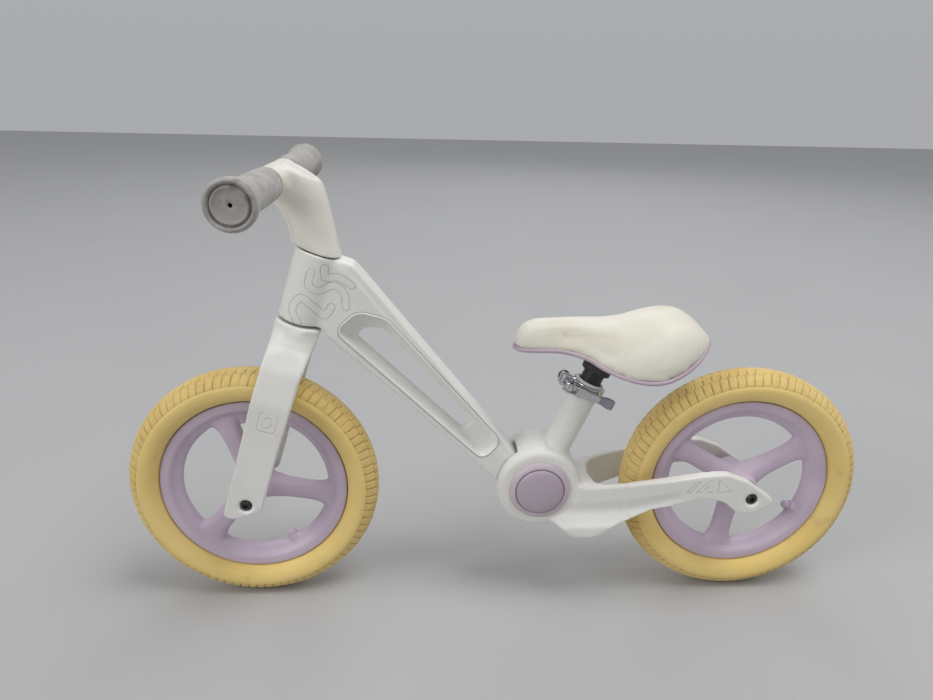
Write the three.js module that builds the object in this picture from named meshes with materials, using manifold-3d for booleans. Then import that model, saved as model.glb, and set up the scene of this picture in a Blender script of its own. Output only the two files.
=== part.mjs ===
// Folding balance bike for a small child: slotted cast beam, round fold hub, two 12-inch wheels.
// Millimetres, +Z up. The origin is on the ground, midway between the axles, under the bike's centre.
// -X is the front, -Y is the rider's left side.
import * as THREE from 'three';
import * as BufferGeometryUtils from 'three/addons/utils/BufferGeometryUtils.js';
import Module from 'manifold-3d';

const wasm = await Module();
wasm.setup();

// ---------- driving dimensions ----------
const GAP = 0.3;                    // kept between neighbouring pieces
const WHEELBASE = 591;
const TYRE_RADIUS = 147;
const TYRE_HALF_WIDTH = 24;
const RIM_RADIUS = 110;             // outer edge of the rim flange
const RIM_HALF_WIDTH = 13.6;
const RIM_INNER_RADIUS = 86;        // inside of the rim, where the spokes join it
const SPOKE_HALF_WIDTH = 12;
const SPOKE_HALF_DEPTH = 9;
const HUB_HALF_WIDTH = 30;          // wheel hub, bearing face to bearing face
const HUB_RADIUS = 18;
const FRONT_SPOKE_ANGLES = [110, 230, 350];
const REAR_SPOKE_ANGLES = [30, 150, 262];
const FRONT_VALVE_ANGLE = 298;
const REAR_VALVE_ANGLE = 332;
const WHEEL_SEGMENTS = 32;

const AXLE_RADIUS = 5;
const BEARING_RADIUS = 11;
const BEARING_WIDTH = 7;
const BOLT_HEAD_RADIUS = 6.6;
const BOLT_SHANK_RADIUS = 3;

const STEERING_TILT = THREE.MathUtils.degToRad(17.2);
const HEAD_BOTTOM = 216;            // along the steering axis, from the front axle
const HEAD_TOP = 296;
const HEAD_RADIUS = 25.5;
const HEAD_BEARING_RADIUS = 20;
const HEAD_BEARING_HEIGHT = 8;
const STEERER_RADIUS = 14.2;
const STEERER_TOP = 310;
const CROWN_RADIUS = 29.3;          // round top of the crown, under the head tube
const BLADE_OUTER = 57.5;           // outer faces of the fork blades, from the centre plane
const BLADE_INNER = 45;

const BAR_X = -249;
const BAR_Z = 506;
const BAR_HALF_LENGTH = 193;
const BAR_TUBE_RADIUS = 11;
const STEM_ARM_RADIUS = 16;
const GRIP_START = 50;              // inner end of each grip, from the centre plane
const GRIP_FLANGE_RADIUS = 22.6;

const BEAM_HALF_WIDTH = 18;
const SLOT_RECESS = 6;              // depth of the lip round the slot, from each side face
const PIVOT_X = 43.5;
const PIVOT_Z = 152;
const HUB_SHELL_RADIUS = 50;
const HUB_SHELL_HALF_WIDTH = 33;
const HUB_FACE_RADIUS = 44.5;       // flat outer face of the shell, inside its bevel
const CHEEK_INNER = 17;             // inner faces of the shell's two cheeks
const KNUCKLE_RADIUS = 40;
const KNUCKLE_HALF_WIDTH = 16.5;
const LOCK_BORE_RADIUS = 24;
const LOCK_BORE_END = 10;           // the lock bore's floor, inside the knuckle
const PIVOT_PIN_RADIUS = 8;
const BUTTON_RADIUS = 28.2;
const RING_RADIUS = 36.5;
const SHELL_OPEN_FROM = 122;        // the shell's wall is open between these angles, for the beam
const SHELL_OPEN_TO = 295;

const SEAT_TILT = THREE.MathUtils.degToRad(23);
const SEAT_TUBE_BASE_X = 47.5;
const SEAT_TUBE_RADIUS = 17.2;
const SEAT_TUBE_BORE = 13;
const SEAT_BORE_FLOOR = 44;
const SEAT_TUBE_TOP = 138;          // along the seat tube, from the pivot's height
const POST_RADIUS = 12.7;
const COLLAR_FROM = 120;
const COLLAR_HEIGHT = 15;
const CLAMP_BOLT_REACH = 27;        // clamp bolt's axis, in front of the seat tube's axis
const LEVER_OFFSET = 24.5;          // lever's mid plane, from the centre plane

const STAY_OUTER = 52;
const STAY_INNER = 40;

const SADDLE_FRONT = 8;
const SADDLE_REAR = 234;

const PAINT = { color: 0xe6e5df, roughness: 0.45, metalness: 0.1 };
const LILAC = { color: 0xb3a3b5, roughness: 0.5, metalness: 0 };
const RUBBER = { color: 0xd6ba6e, roughness: 0.8, metalness: 0 };
const GREY_RUBBER = { color: 0xa5a39e, roughness: 0.75, metalness: 0 };
const BLACK_RUBBER = { color: 0x232325, roughness: 0.8, metalness: 0 };
const STEEL = { color: 0xb8babd, roughness: 0.3, metalness: 1 };
const DARK_STEEL = { color: 0x2c2c2e, roughness: 0.4, metalness: 1 };
const BLACK_PLASTIC = { color: 0x1d1d1f, roughness: 0.5, metalness: 0 };
const VINYL = { color: 0xdedac8, roughness: 0.55, metalness: 0 };

// ---------- solids ----------
function toSolid(geometry) {
  const bare = (geometry.index ? geometry : BufferGeometryUtils.mergeVertices(geometry)).clone();
  bare.deleteAttribute('normal');
  bare.deleteAttribute('uv');
  const merged = BufferGeometryUtils.mergeVertices(bare, 1e-4);
  const triVerts = Uint32Array.from(merged.index.array);
  const vertProperties = Float32Array.from(merged.attributes.position.array);
  return new wasm.Manifold(new wasm.Mesh({ numProp: 3, vertProperties, triVerts }));
}

function toGeometry(solid) {
  const mesh = solid.getMesh();
  const geometry = new THREE.BufferGeometry();
  geometry.setAttribute('position', new THREE.BufferAttribute(Float32Array.from(mesh.vertProperties), 3));
  geometry.setIndex(new THREE.BufferAttribute(Uint32Array.from(mesh.triVerts), 1));
  geometry.computeVertexNormals();
  return geometry;
}

function joined(...solids) {
  return solids.reduce((whole, solid) => whole.add(solid));
}

function cut(solid, ...tools) {
  return tools.reduce((rest, tool) => rest.subtract(tool), solid);
}

// A shape drawn in x and z, pushed through from y = from to y = to.
function acrossSolid(shape, from, to, curveSegments = 3) {
  const geometry = new THREE.ExtrudeGeometry(shape, { depth: to - from, bevelEnabled: false, curveSegments });
  geometry.rotateX(Math.PI / 2);
  geometry.translate(0, to, 0);
  return toSolid(geometry);
}

// A shape drawn in y and z, pushed through along x.
function alongSolid(shape, from, to, curveSegments = 3) {
  const geometry = new THREE.ExtrudeGeometry(shape, { depth: to - from, bevelEnabled: false, curveSegments });
  geometry.rotateX(Math.PI / 2);
  geometry.rotateZ(Math.PI / 2);
  geometry.translate(from, 0, 0);
  return toSolid(geometry);
}

// A shape drawn in x and y, pushed up along z.
function upSolid(shape, from, to, curveSegments = 3) {
  const geometry = new THREE.ExtrudeGeometry(shape, { depth: to - from, bevelEnabled: false, curveSegments });
  geometry.translate(0, 0, from);
  return toSolid(geometry);
}

// A closed profile of [radius, height] points turned about the y axis.
function turnedSolid(profile, segments = 16) {
  const area = profile.reduce((sum, [r, h], i) => {
    const [nextR, nextH] = profile[(i + 1) % profile.length];
    return sum + r * nextH - nextR * h;
  }, 0);
  const ordered = area > 0 ? profile : [...profile].reverse();
  const points = [...ordered, ordered[0]].map(([r, h]) => new THREE.Vector2(r, h));
  return toSolid(new THREE.LatheGeometry(points, segments));
}

function discSolid(radius, from, to, x = 0, z = 0, segments = 16) {
  return turnedSolid([[0, from], [radius, from], [radius, to], [0, to]], segments).translate([x, 0, z]);
}

function ringSolid(inner, outer, from, to, segments = 16) {
  return turnedSolid([[inner, from], [outer, from], [outer, to], [inner, to]], segments);
}

// The same two, standing upright about the z axis.
function uprightDisc(radius, from, to, segments = 16) {
  return discSolid(radius, from, to, 0, 0, segments).rotate([90, 0, 0]);
}

function uprightRing(inner, outer, from, to, segments = 16) {
  return ringSolid(inner, outer, from, to, segments).rotate([90, 0, 0]);
}

// A polygon of [x, y, corner radius] points with its corners rounded.
function roundedShape(corners) {
  const shape = new THREE.Shape();
  corners.forEach(([x, y, radius = 0], i) => {
    const corner = new THREE.Vector2(x, y);
    const [px, py] = corners[(i + corners.length - 1) % corners.length];
    const [nx, ny] = corners[(i + 1) % corners.length];
    const back = new THREE.Vector2(px, py).sub(corner);
    const ahead = new THREE.Vector2(nx, ny).sub(corner);
    const turn = Math.abs(back.angleTo(ahead));
    const reach = radius === 0 ? 0 : Math.min(
      radius / Math.tan(turn / 2), back.length() * 0.49, ahead.length() * 0.49);
    const start = corner.clone().addScaledVector(back.normalize(), reach);
    const end = corner.clone().addScaledVector(ahead.normalize(), reach);
    if (i === 0) shape.moveTo(start.x, start.y);
    else shape.lineTo(start.x, start.y);
    if (reach > 0) shape.quadraticCurveTo(corner.x, corner.y, end.x, end.y);
  });
  shape.closePath();
  return shape;
}

// ---------- scene graph ----------
const bike = new THREE.Group();
const steering = new THREE.Group();   // local z runs up the steering axis from the front axle
steering.position.set(-WHEELBASE / 2, 0, TYRE_RADIUS);
steering.rotation.y = STEERING_TILT;
const hub = new THREE.Group();        // origin on the fold pivot
hub.position.set(PIVOT_X, 0, PIVOT_Z);
const seatMast = new THREE.Group();   // local z runs up the seat tube
seatMast.position.set(SEAT_TUBE_BASE_X, 0, PIVOT_Z);
seatMast.rotation.y = SEAT_TILT;
const bar = new THREE.Group();        // origin at the middle of the handlebar
bar.position.set(BAR_X, 0, BAR_Z);
bike.add(steering, hub, seatMast, bar);

function addPiece(name, solid, look, parent = bike) {
  const mesh = new THREE.Mesh(toGeometry(solid), new THREE.MeshStandardMaterial(look));
  mesh.name = name;
  parent.add(mesh);
  return mesh;
}

// Moves a solid made in a tilted group's own frame into the bike's frame.
const toSteering = (solid) => solid
  .rotate([0, THREE.MathUtils.radToDeg(STEERING_TILT), 0])
  .translate([-WHEELBASE / 2, 0, TYRE_RADIUS]);
const toMast = (solid) => solid
  .rotate([0, THREE.MathUtils.radToDeg(SEAT_TILT), 0])
  .translate([SEAT_TUBE_BASE_X, 0, PIVOT_Z]);

// ---------- wheels ----------
function tyreSolid() {
  return turnedSolid([
    [101, -10.6], [112, -11], [118, -21], [125, -TYRE_HALF_WIDTH], [136, -21], [144, -11],
    [TYRE_RADIUS, 0], [144, 11], [136, 21], [125, TYRE_HALF_WIDTH], [118, 21], [112, 11],
    [101, 10.6], [101, 7.5], [113, 8], [122, 16], [134, 15], [139, 7],
    [139, -7], [134, -15], [122, -16], [113, -8], [101, -7.5],
  ], WHEEL_SEGMENTS);
}

function innerTubeSolid(valveAngle) {
  const circle = (radius, count) => Array.from({ length: count }, (_, i) => {
    const angle = (i / count) * Math.PI * 2;
    return [122.5 + radius * Math.cos(angle), radius * Math.sin(angle)];
  });
  const hollow = cut(turnedSolid(circle(11, 6), 20), turnedSolid(circle(9, 4), 20));
  return cut(hollow, radialRod(1.5, 105, 116, valveAngle, 6));
}

// A rod that points out from the wheel's centre at an angle in the wheel's plane.
function radialRod(radius, from, to, angle, segments = 10) {
  return uprightDisc(radius, from, to, segments).rotate([0, 90 - angle, 0]);
}

function spokeSolid(angle) {
  const plan = roundedShape([
    [8, -SPOKE_HALF_WIDTH - 3], [34, -SPOKE_HALF_WIDTH], [76, -SPOKE_HALF_WIDTH, 12], [92, -24],
    [92, 24], [76, SPOKE_HALF_WIDTH, 12], [34, SPOKE_HALF_WIDTH], [8, SPOKE_HALF_WIDTH + 3],
  ]);
  const flat = acrossSolid(plan, -17, 17, 2);
  const depth = upSolid(roundedShape([
    [8, -16], [24, -15], [44, -SPOKE_HALF_DEPTH], [94, -SPOKE_HALF_DEPTH + 1],
    [94, SPOKE_HALF_DEPTH - 1], [44, SPOKE_HALF_DEPTH], [24, 15], [8, 16],
  ]), -40, 40, 2);
  return flat.intersect(depth).rotate([0, -angle, 0]);
}

function rimSolid(spokeAngles, valveAngle) {
  const half = [
    [RIM_RADIUS, 11.4], [RIM_RADIUS, RIM_HALF_WIDTH], [99, RIM_HALF_WIDTH], [90, 8],
    [RIM_INNER_RADIUS, 2.5],
  ];
  const mirrored = [...half].reverse().map(([r, h]) => [r, -h]);
  const band = turnedSolid([...half, ...mirrored, [96, -10.9], [96, 10.9]], WHEEL_SEGMENTS);
  const boss = turnedSolid([
    [0, -HUB_HALF_WIDTH], [16, -HUB_HALF_WIDTH], [HUB_RADIUS, -22], [HUB_RADIUS + 2, 0],
    [HUB_RADIUS, 22], [16, HUB_HALF_WIDTH], [0, HUB_HALF_WIDTH],
  ]);
  const spokes = spokeAngles.map(spokeSolid);
  const seatFrom = HUB_HALF_WIDTH - BEARING_WIDTH - GAP;
  return cut(
    joined(band, boss, ...spokes),
    discSolid(AXLE_RADIUS + 2, -40, 40),
    discSolid(BEARING_RADIUS + GAP, seatFrom, 40),
    discSolid(BEARING_RADIUS + GAP, -40, -seatFrom),
    radialRod(3.3, 70, 100, valveAngle),
  );
}

function bearingSolid(side) {
  const inner = HUB_HALF_WIDTH - BEARING_WIDTH;
  const [from, to] = side < 0 ? [-HUB_HALF_WIDTH, -inner] : [inner, HUB_HALF_WIDTH];
  return ringSolid(AXLE_RADIUS + GAP, BEARING_RADIUS, from, to, 20);
}

function addWheel(prefix, x, spokeAngles, valveAngle) {
  const wheel = new THREE.Group();
  wheel.position.set(x, 0, TYRE_RADIUS);
  bike.add(wheel);
  addPiece(`${prefix}_tyre`, tyreSolid(), RUBBER, wheel);
  addPiece(`${prefix}_inner_tube`, innerTubeSolid(valveAngle), BLACK_RUBBER, wheel);
  addPiece(`${prefix}_rim`, rimSolid(spokeAngles, valveAngle), LILAC, wheel);
  addPiece(`${prefix}_bearing_left`, bearingSolid(-1), STEEL, wheel);
  addPiece(`${prefix}_bearing_right`, bearingSolid(1), STEEL, wheel);
  const stem = cut(radialRod(3, 78, 106, valveAngle), radialRod(1.2, 77, 107, valveAngle, 6));
  const cap = cut(radialRod(4.6, 73, 85, valveAngle), radialRod(3.3, 77.7, 86, valveAngle));
  addPiece(`${prefix}_valve_stem`, stem, STEEL, wheel);
  addPiece(`${prefix}_valve_cap`, cap, LILAC, wheel);
}

// An axle sleeve with internal thread, the two spacers beside the hub, and the bolts from outside.
function addAxle(prefix, x, inner, outer) {
  const set = new THREE.Group();
  set.position.set(x, 0, TYRE_RADIUS);
  bike.add(set);
  const half = inner - GAP;
  addPiece(`${prefix}_axle`, ringSolid(BOLT_SHANK_RADIUS + GAP, AXLE_RADIUS, -half, half, 20), STEEL, set);
  for (const [side, sign] of [['left', -1], ['right', 1]]) {
    const turnIfLeft = (solid) => (sign < 0 ? solid.rotate([0, 0, 180]) : solid);
    const spacer = ringSolid(AXLE_RADIUS + GAP, 8, HUB_HALF_WIDTH + GAP, half, 16);
    addPiece(`${prefix}_spacer_${side}`, turnIfLeft(spacer), DARK_STEEL, set);
    const head = outer - 5;
    const bolt = joined(
      discSolid(BOLT_SHANK_RADIUS, inner - 16, head + 1, 0, 0, 12),
      discSolid(BOLT_HEAD_RADIUS, head, head + 3.6, 0, 0, 20),
    );
    const socket = discSolid(2.9, head + 1.4, head + 5, 0, 0, 6);
    addPiece(`${prefix}_axle_bolt_${side}`, turnIfLeft(cut(bolt, socket)), DARK_STEEL, set);
  }
}

// Through hole and head recess for one axle bolt at each side, centred on the axle.
function boltHoles(x, outer) {
  return joined(
    discSolid(BOLT_SHANK_RADIUS + 0.5, -outer - 2, outer + 2, x, TYRE_RADIUS, 16),
    discSolid(BOLT_HEAD_RADIUS + 0.6, -outer - 2, -outer + 5 + GAP, x, TYRE_RADIUS, 20),
    discSolid(BOLT_HEAD_RADIUS + 0.6, outer - 5 - GAP, outer + 2, x, TYRE_RADIUS, 20),
  );
}

// ---------- front frame ----------
function beamOutline() {
  return roundedShape([
    [-208, 429.5], [-171, 418.4, 14], [15, 189, 0], [PIVOT_X, 152], [0, 148.5],
    [-110, 254.5, 60], [-204, 338, 9], [-212, 349],
  ]);
}

function slotLip() {
  return roundedShape([
    [-190, 344, 7], [-165, 363, 16], [-136, 358, 24], [-5, 208, 9], [-24, 186, 10],
  ]);
}

function slotOpening() {
  return roundedShape([
    [-174, 344, 5], [-158, 354, 9], [-139, 350, 16], [-35, 231, 6], [-50, 219, 6],
  ]);
}

function frontFrameSolid() {
  const head = toSteering(uprightDisc(HEAD_RADIUS, HEAD_BOTTOM, HEAD_TOP, 32));
  const beam = cut(
    acrossSolid(beamOutline(), -BEAM_HALF_WIDTH, BEAM_HALF_WIDTH),
    discSolid(HUB_SHELL_RADIUS + 1, -30, 30, PIVOT_X, PIVOT_Z, 32),
  );
  const neck = acrossSolid(beamOutline(), -KNUCKLE_HALF_WIDTH, KNUCKLE_HALF_WIDTH);
  const knuckle = discSolid(
    KNUCKLE_RADIUS, -KNUCKLE_HALF_WIDTH, KNUCKLE_HALF_WIDTH, PIVOT_X, PIVOT_Z, 32);
  const lipDepth = BEAM_HALF_WIDTH - SLOT_RECESS;
  const steererHole = toSteering(uprightDisc(STEERER_RADIUS + 1.3, 200, 310));
  const bearingSeats = [[190, HEAD_BOTTOM + HEAD_BEARING_HEIGHT], [HEAD_TOP - HEAD_BEARING_HEIGHT, 320]]
    .map(([from, to]) => toSteering(uprightDisc(HEAD_BEARING_RADIUS + GAP, from, to)));
  const belowHead = toSteering(uprightDisc(30, 190, HEAD_BOTTOM - GAP / 2, 32));
  return cut(
    joined(beam, neck, head, knuckle),
    acrossSolid(slotOpening(), -30, 30),
    acrossSolid(slotLip(), lipDepth, 30),
    acrossSolid(slotLip(), -30, -lipDepth),
    steererHole,
    ...bearingSeats,
    belowHead,
    discSolid(LOCK_BORE_RADIUS, -30, LOCK_BORE_END, PIVOT_X, PIVOT_Z),
    discSolid(PIVOT_PIN_RADIUS + GAP, -30, 30, PIVOT_X, PIVOT_Z),
  );
}

function headsetBearing(from) {
  const top = from + HEAD_BEARING_HEIGHT - GAP;
  return uprightRing(STEERER_RADIUS + GAP, HEAD_BEARING_RADIUS, from + GAP / 2, top);
}

// ---------- steering ----------
function forkSolid() {
  const front = roundedShape([
    [-26, 213, 2], [-33, 196, 20], [-50, 168, 30], [-BLADE_OUTER, 130, 60], [-BLADE_OUTER, -30],
    [-BLADE_INNER, -30], [-BLADE_INNER, 125, 40], [-36, 158, 20], [-20, 170, 16], [20, 170, 16],
    [36, 158, 20], [BLADE_INNER, 125, 40], [BLADE_INNER, -30],
    [BLADE_OUTER, -30], [BLADE_OUTER, 130, 60], [50, 168, 30], [33, 196, 20], [26, 213, 2],
  ]);
  const side = roundedShape([
    [-25.5, 214], [-24, 180, 40], [-24, 120, 60], [-22, 30, 60], [-21.5, -19, 4], [-10, -22, 14],
    [18.5, -1, 9], [18, 60, 60], [20, 160, 60], [25.5, 214],
  ]);
  const roundTop = joined(uprightDisc(CROWN_RADIUS, 180, 230, 32), uprightDisc(90, -60, 196, 32));
  const crownAndBlades = alongSolid(front, -40, 40)
    .intersect(acrossSolid(side, -70, 70))
    .intersect(roundTop);
  const steerer = uprightDisc(STEERER_RADIUS, 200, STEERER_TOP);
  const blind = uprightDisc(8, 178, STEERER_TOP + 1, 16);
  const boltHole = uprightDisc(4, 160, 190, 12);
  const holes = boltHoles(0, BLADE_OUTER).translate([0, 0, -TYRE_RADIUS]);
  return cut(joined(crownAndBlades, steerer), blind, boltHole, holes);
}

function stemSolid() {
  const side = roundedShape([
    [-232.2, 438.3], [-240, 458, 20], [-252, 482, 20], [-266, 496, 8], [-265, 520, 12],
    [-234, 521, 6], [-202, 503, 8], [-192, 462, 60], [-183.3, 423.2],
  ]);
  const front = roundedShape([
    [-25.5, 415], [-23, 450, 30], [-24, 478, 20], [-34, 492, 10], [-34, 524, 8],
    [34, 524, 8], [34, 492, 10], [24, 478, 20], [23, 450, 30], [25.5, 415],
  ]);
  const column = acrossSolid(side, -36, 36).intersect(alongSolid(front, -290, -160));
  const arms = discSolid(STEM_ARM_RADIUS, -GRIP_START, GRIP_START, BAR_X, BAR_Z);
  const trimBelow = toSteering(uprightDisc(60, 270, HEAD_TOP + 1, 16));
  return cut(
    joined(column, arms),
    trimBelow,
    toSteering(uprightDisc(STEERER_RADIUS + GAP, 290, STEERER_TOP + 2)),
    discSolid(BAR_TUBE_RADIUS + GAP, -80, 80, BAR_X, BAR_Z),
  );
}

function gripSolid() {
  const end = BAR_HALF_LENGTH;
  const bore = BAR_TUBE_RADIUS + GAP;
  return turnedSolid([
    [2, end - 1.5], [14, end - 1.5], [17, end], [20, end - 0.6], [GRIP_FLANGE_RADIUS, end - 4],
    [GRIP_FLANGE_RADIUS, end - 10], [17, end - 15], [17.4, end - 60],
    [16.2, GRIP_START + GAP], [bore, GRIP_START + GAP], [bore, end - 8], [2, end - 8],
  ]);
}

function addSteering() {
  addPiece('fork', forkSolid(), PAINT, steering);
  addPiece('headset_bearing_lower', headsetBearing(HEAD_BOTTOM), STEEL, steering);
  addPiece('headset_bearing_upper', headsetBearing(HEAD_TOP - HEAD_BEARING_HEIGHT), STEEL, steering);
  addPiece('stem', stemSolid(), PAINT);
  const bolt = joined(uprightDisc(3.6, 165, 200, 12), uprightDisc(6.5, 165, 169, 16));
  addPiece('steerer_bolt', cut(bolt, uprightDisc(2.9, 164, 167.5, 6)), DARK_STEEL, steering);
  const tube = ringSolid(9, BAR_TUBE_RADIUS, -BAR_HALF_LENGTH + 9, BAR_HALF_LENGTH - 9);
  addPiece('handlebar_tube', tube, STEEL, bar);
  addPiece('grip_left', gripSolid().rotate([0, 0, 180]), GREY_RUBBER, bar);
  addPiece('grip_right', gripSolid(), GREY_RUBBER, bar);
}

// ---------- rear frame ----------
function staySideOutline() {
  return roundedShape([
    [45, 160], [110, 157, 30], [170, 169, 60], [235, 179.5, 60], [262, 181, 20], [288, 171, 30],
    [327, 143, 4], [300, 128.5, 14], [281, 128, 12], [262, 144, 20], [238, 149.5, 40],
    [174, 132, 40], [140, 112, 30], [112, 88, 25], [84, 84, 20], [62, 105, 10], [48, 130],
  ]);
}

function stayPlanOutline() {
  const half = [
    [50, 0], [50, 34], [86, 35, 30], [150, 47, 60], [196, STAY_OUTER, 60], [330, STAY_OUTER],
    [330, STAY_INNER], [196, STAY_INNER, 60], [146, 38, 30], [112, 31, 24], [108, 0],
  ];
  const mirrored = half.slice(1, -1).reverse().map(([x, y, r]) => [x, -y, r]);
  return roundedShape([...half, ...mirrored].map(([x, y, r]) => [x, -y, r]));
}

function hubShell() {
  const bevelled = [
    [0, -HUB_SHELL_HALF_WIDTH], [HUB_FACE_RADIUS, -HUB_SHELL_HALF_WIDTH],
    [HUB_SHELL_RADIUS, -HUB_SHELL_HALF_WIDTH + 6], [HUB_SHELL_RADIUS, HUB_SHELL_HALF_WIDTH - 6],
    [HUB_FACE_RADIUS, HUB_SHELL_HALF_WIDTH], [0, HUB_SHELL_HALF_WIDTH],
  ];
  return turnedSolid(bevelled, 32).translate([PIVOT_X, 0, PIVOT_Z]);
}

// The space between the cheeks that the knuckle fills and the beam sweeps as the bike folds.
function hubCavity() {
  const reach = HUB_SHELL_RADIUS + 30;
  const sweep = new THREE.Shape();
  sweep.moveTo(0, 0);
  sweep.absarc(
    0, 0, reach, THREE.MathUtils.degToRad(SHELL_OPEN_FROM), THREE.MathUtils.degToRad(SHELL_OPEN_TO));
  sweep.closePath();
  const opening = acrossSolid(sweep, -CHEEK_INNER, CHEEK_INNER, 8);
  const pocket = discSolid(KNUCKLE_RADIUS + 1, -CHEEK_INNER, CHEEK_INNER, 0, 0, 32);
  return joined(opening, pocket).translate([PIVOT_X, 0, PIVOT_Z]);
}

function rearFrameSolid() {
  const beside = HUB_SHELL_HALF_WIDTH;
  const stays = cut(
    acrossSolid(staySideOutline(), -60, 60).intersect(upSolid(stayPlanOutline(), 60, 200)),
    discSolid(HUB_FACE_RADIUS + 1.5, beside, 60, PIVOT_X, PIVOT_Z, 32),
    discSolid(HUB_FACE_RADIUS + 1.5, -60, -beside, PIVOT_X, PIVOT_Z, 32),
  );
  const seatTube = toMast(uprightDisc(SEAT_TUBE_RADIUS, 30, SEAT_TUBE_TOP));
  const clear = discSolid(HUB_SHELL_RADIUS - 2, -CHEEK_INNER, CHEEK_INNER, PIVOT_X, PIVOT_Z, 32);
  return cut(
    joined(hubShell(), stays, cut(seatTube, clear)),
    hubCavity(),
    toMast(uprightDisc(SEAT_TUBE_BORE, SEAT_BORE_FLOOR, SEAT_TUBE_TOP + 5)),
    toMast(slitSolid()),
    boltHoles(WHEELBASE / 2, STAY_OUTER),
    discSolid(BUTTON_RADIUS + 0.6, -40, -25.3, PIVOT_X, PIVOT_Z),
    discSolid(LOCK_BORE_RADIUS, -40, 0, PIVOT_X, PIVOT_Z),
    discSolid(PIVOT_PIN_RADIUS + GAP, 0, 40, PIVOT_X, PIVOT_Z),
    discSolid(12.5, 27.7, 40, PIVOT_X, PIVOT_Z),
  );
}

// The slit that lets the top of the seat tube close on the post.
function slitSolid() {
  const box = new THREE.BoxGeometry(20, 2.4, 26);
  box.translate(-14, 0, SEAT_TUBE_TOP - 11);
  return toSolid(box);
}

function addHub() {
  const face = -HUB_SHELL_HALF_WIDTH - GAP;
  addPiece('hub_ring', ringSolid(BUTTON_RADIUS + 0.6, RING_RADIUS, face - 4, face, 28), LILAC, hub);
  addPiece('hub_cover_right', turnedSolid([
    [0, -face], [RING_RADIUS, -face], [RING_RADIUS, 3 - face], [RING_RADIUS - 2, 4 - face],
    [0, 6 - face],
  ], 28), LILAC, hub);
  addPiece('pivot_pin', joined(
    discSolid(PIVOT_PIN_RADIUS, -24, 30), discSolid(12, 28, 32.4)), STEEL, hub);
  addPiece('fold_button', turnedSolid([
    [0, -43], [14, -42.6], [24, -41], [BUTTON_RADIUS, -38.5], [BUTTON_RADIUS, -31], [0, -31],
  ], 28), LILAC, hub);
  addPiece('lock_plunger', ringSolid(PIVOT_PIN_RADIUS + 0.5, LOCK_BORE_RADIUS - 1.2, -30.7, -4), STEEL, hub);
  addPiece('button_spring', springSolid(), STEEL, hub);
}

// A short compression spring round the pivot pin, between the plunger and the floor of the bore.
function springSolid() {
  class Helix extends THREE.Curve {
    getPoint(t, target = new THREE.Vector3()) {
      const angle = t * Math.PI * 2 * 2.5;
      return target.set(13 * Math.cos(angle), -2.4 + t * 10.8, 13 * Math.sin(angle));
    }
  }
  const wire = new THREE.Shape();
  wire.absarc(0, 0, 0.9, 0, Math.PI * 2);
  const geometry = new THREE.ExtrudeGeometry(wire, {
    steps: 30, extrudePath: new Helix(), bevelEnabled: false, curveSegments: 2,
  });
  return toSolid(geometry);
}

// ---------- seat clamp ----------
function addClamp() {
  const top = COLLAR_FROM + COLLAR_HEIGHT;
  const middle = COLLAR_FROM + COLLAR_HEIGHT / 2;
  const ears = toSolid(new THREE.BoxGeometry(20, 18, COLLAR_HEIGHT - 2)
    .translate(-CLAMP_BOLT_REACH + 3, 0, middle));
  const split = toSolid(new THREE.BoxGeometry(26, 3, 40).translate(-CLAMP_BOLT_REACH - 1 + 3, 0, middle));
  const atBolt = (solid) => solid.translate([-CLAMP_BOLT_REACH, 0, middle]);
  const collar = cut(
    joined(uprightRing(SEAT_TUBE_RADIUS + GAP, 21, COLLAR_FROM, top, 32),
      cut(ears, uprightDisc(SEAT_TUBE_RADIUS + 2, 100, 150))),
    split,
    atBolt(discSolid(3.3, -30, 30)),
  );
  addPiece('clamp_collar', collar, STEEL, seatMast);
  const eye = uprightDisc(5, -3.2, 3.2).translate([0, -LEVER_OFFSET + 1, 0]);
  const pinHole = uprightDisc(2.8, -5, 5, 12).translate([0, -LEVER_OFFSET + 1, 0]);
  const bolt = cut(joined(discSolid(3, -20, 17), eye), pinHole);
  addPiece('clamp_bolt', atBolt(bolt), STEEL, seatMast);
  const nut = cut(discSolid(6, 9 + GAP, 15, 0, 0, 6), discSolid(3.3, 0, 30));
  addPiece('clamp_nut', atBolt(nut), DARK_STEEL, seatMast);
  addLever(atBolt);
}

function addLever(atBolt) {
  const pin = uprightDisc(2.5, -6.5, 6.5, 12).translate([0, -LEVER_OFFSET + 1, 0]);
  addPiece('lever_pin', atBolt(pin), DARK_STEEL, seatMast);
  const outline = roundedShape([
    [-7.5, -17.8, 6], [7, -18.2, 5], [14, -22, 12], [48, -22, 12], [56, -24, 3.4], [56, -31, 3.4],
    [44, -28, 12], [8, -28.5, 12], [-7.5, -30, 6],
  ]);
  const plate = upSolid(outline, -6, 6, 4);
  const bore = uprightDisc(2.8, -10, 10, 12).translate([0, -LEVER_OFFSET + 1, 0]);
  const forkGap = uprightDisc(10, -3.5, 3.5).translate([0, -LEVER_OFFSET + 1, 0]);
  addPiece('clamp_lever', atBolt(cut(plate, bore, forkGap)), STEEL, seatMast);
}

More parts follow.
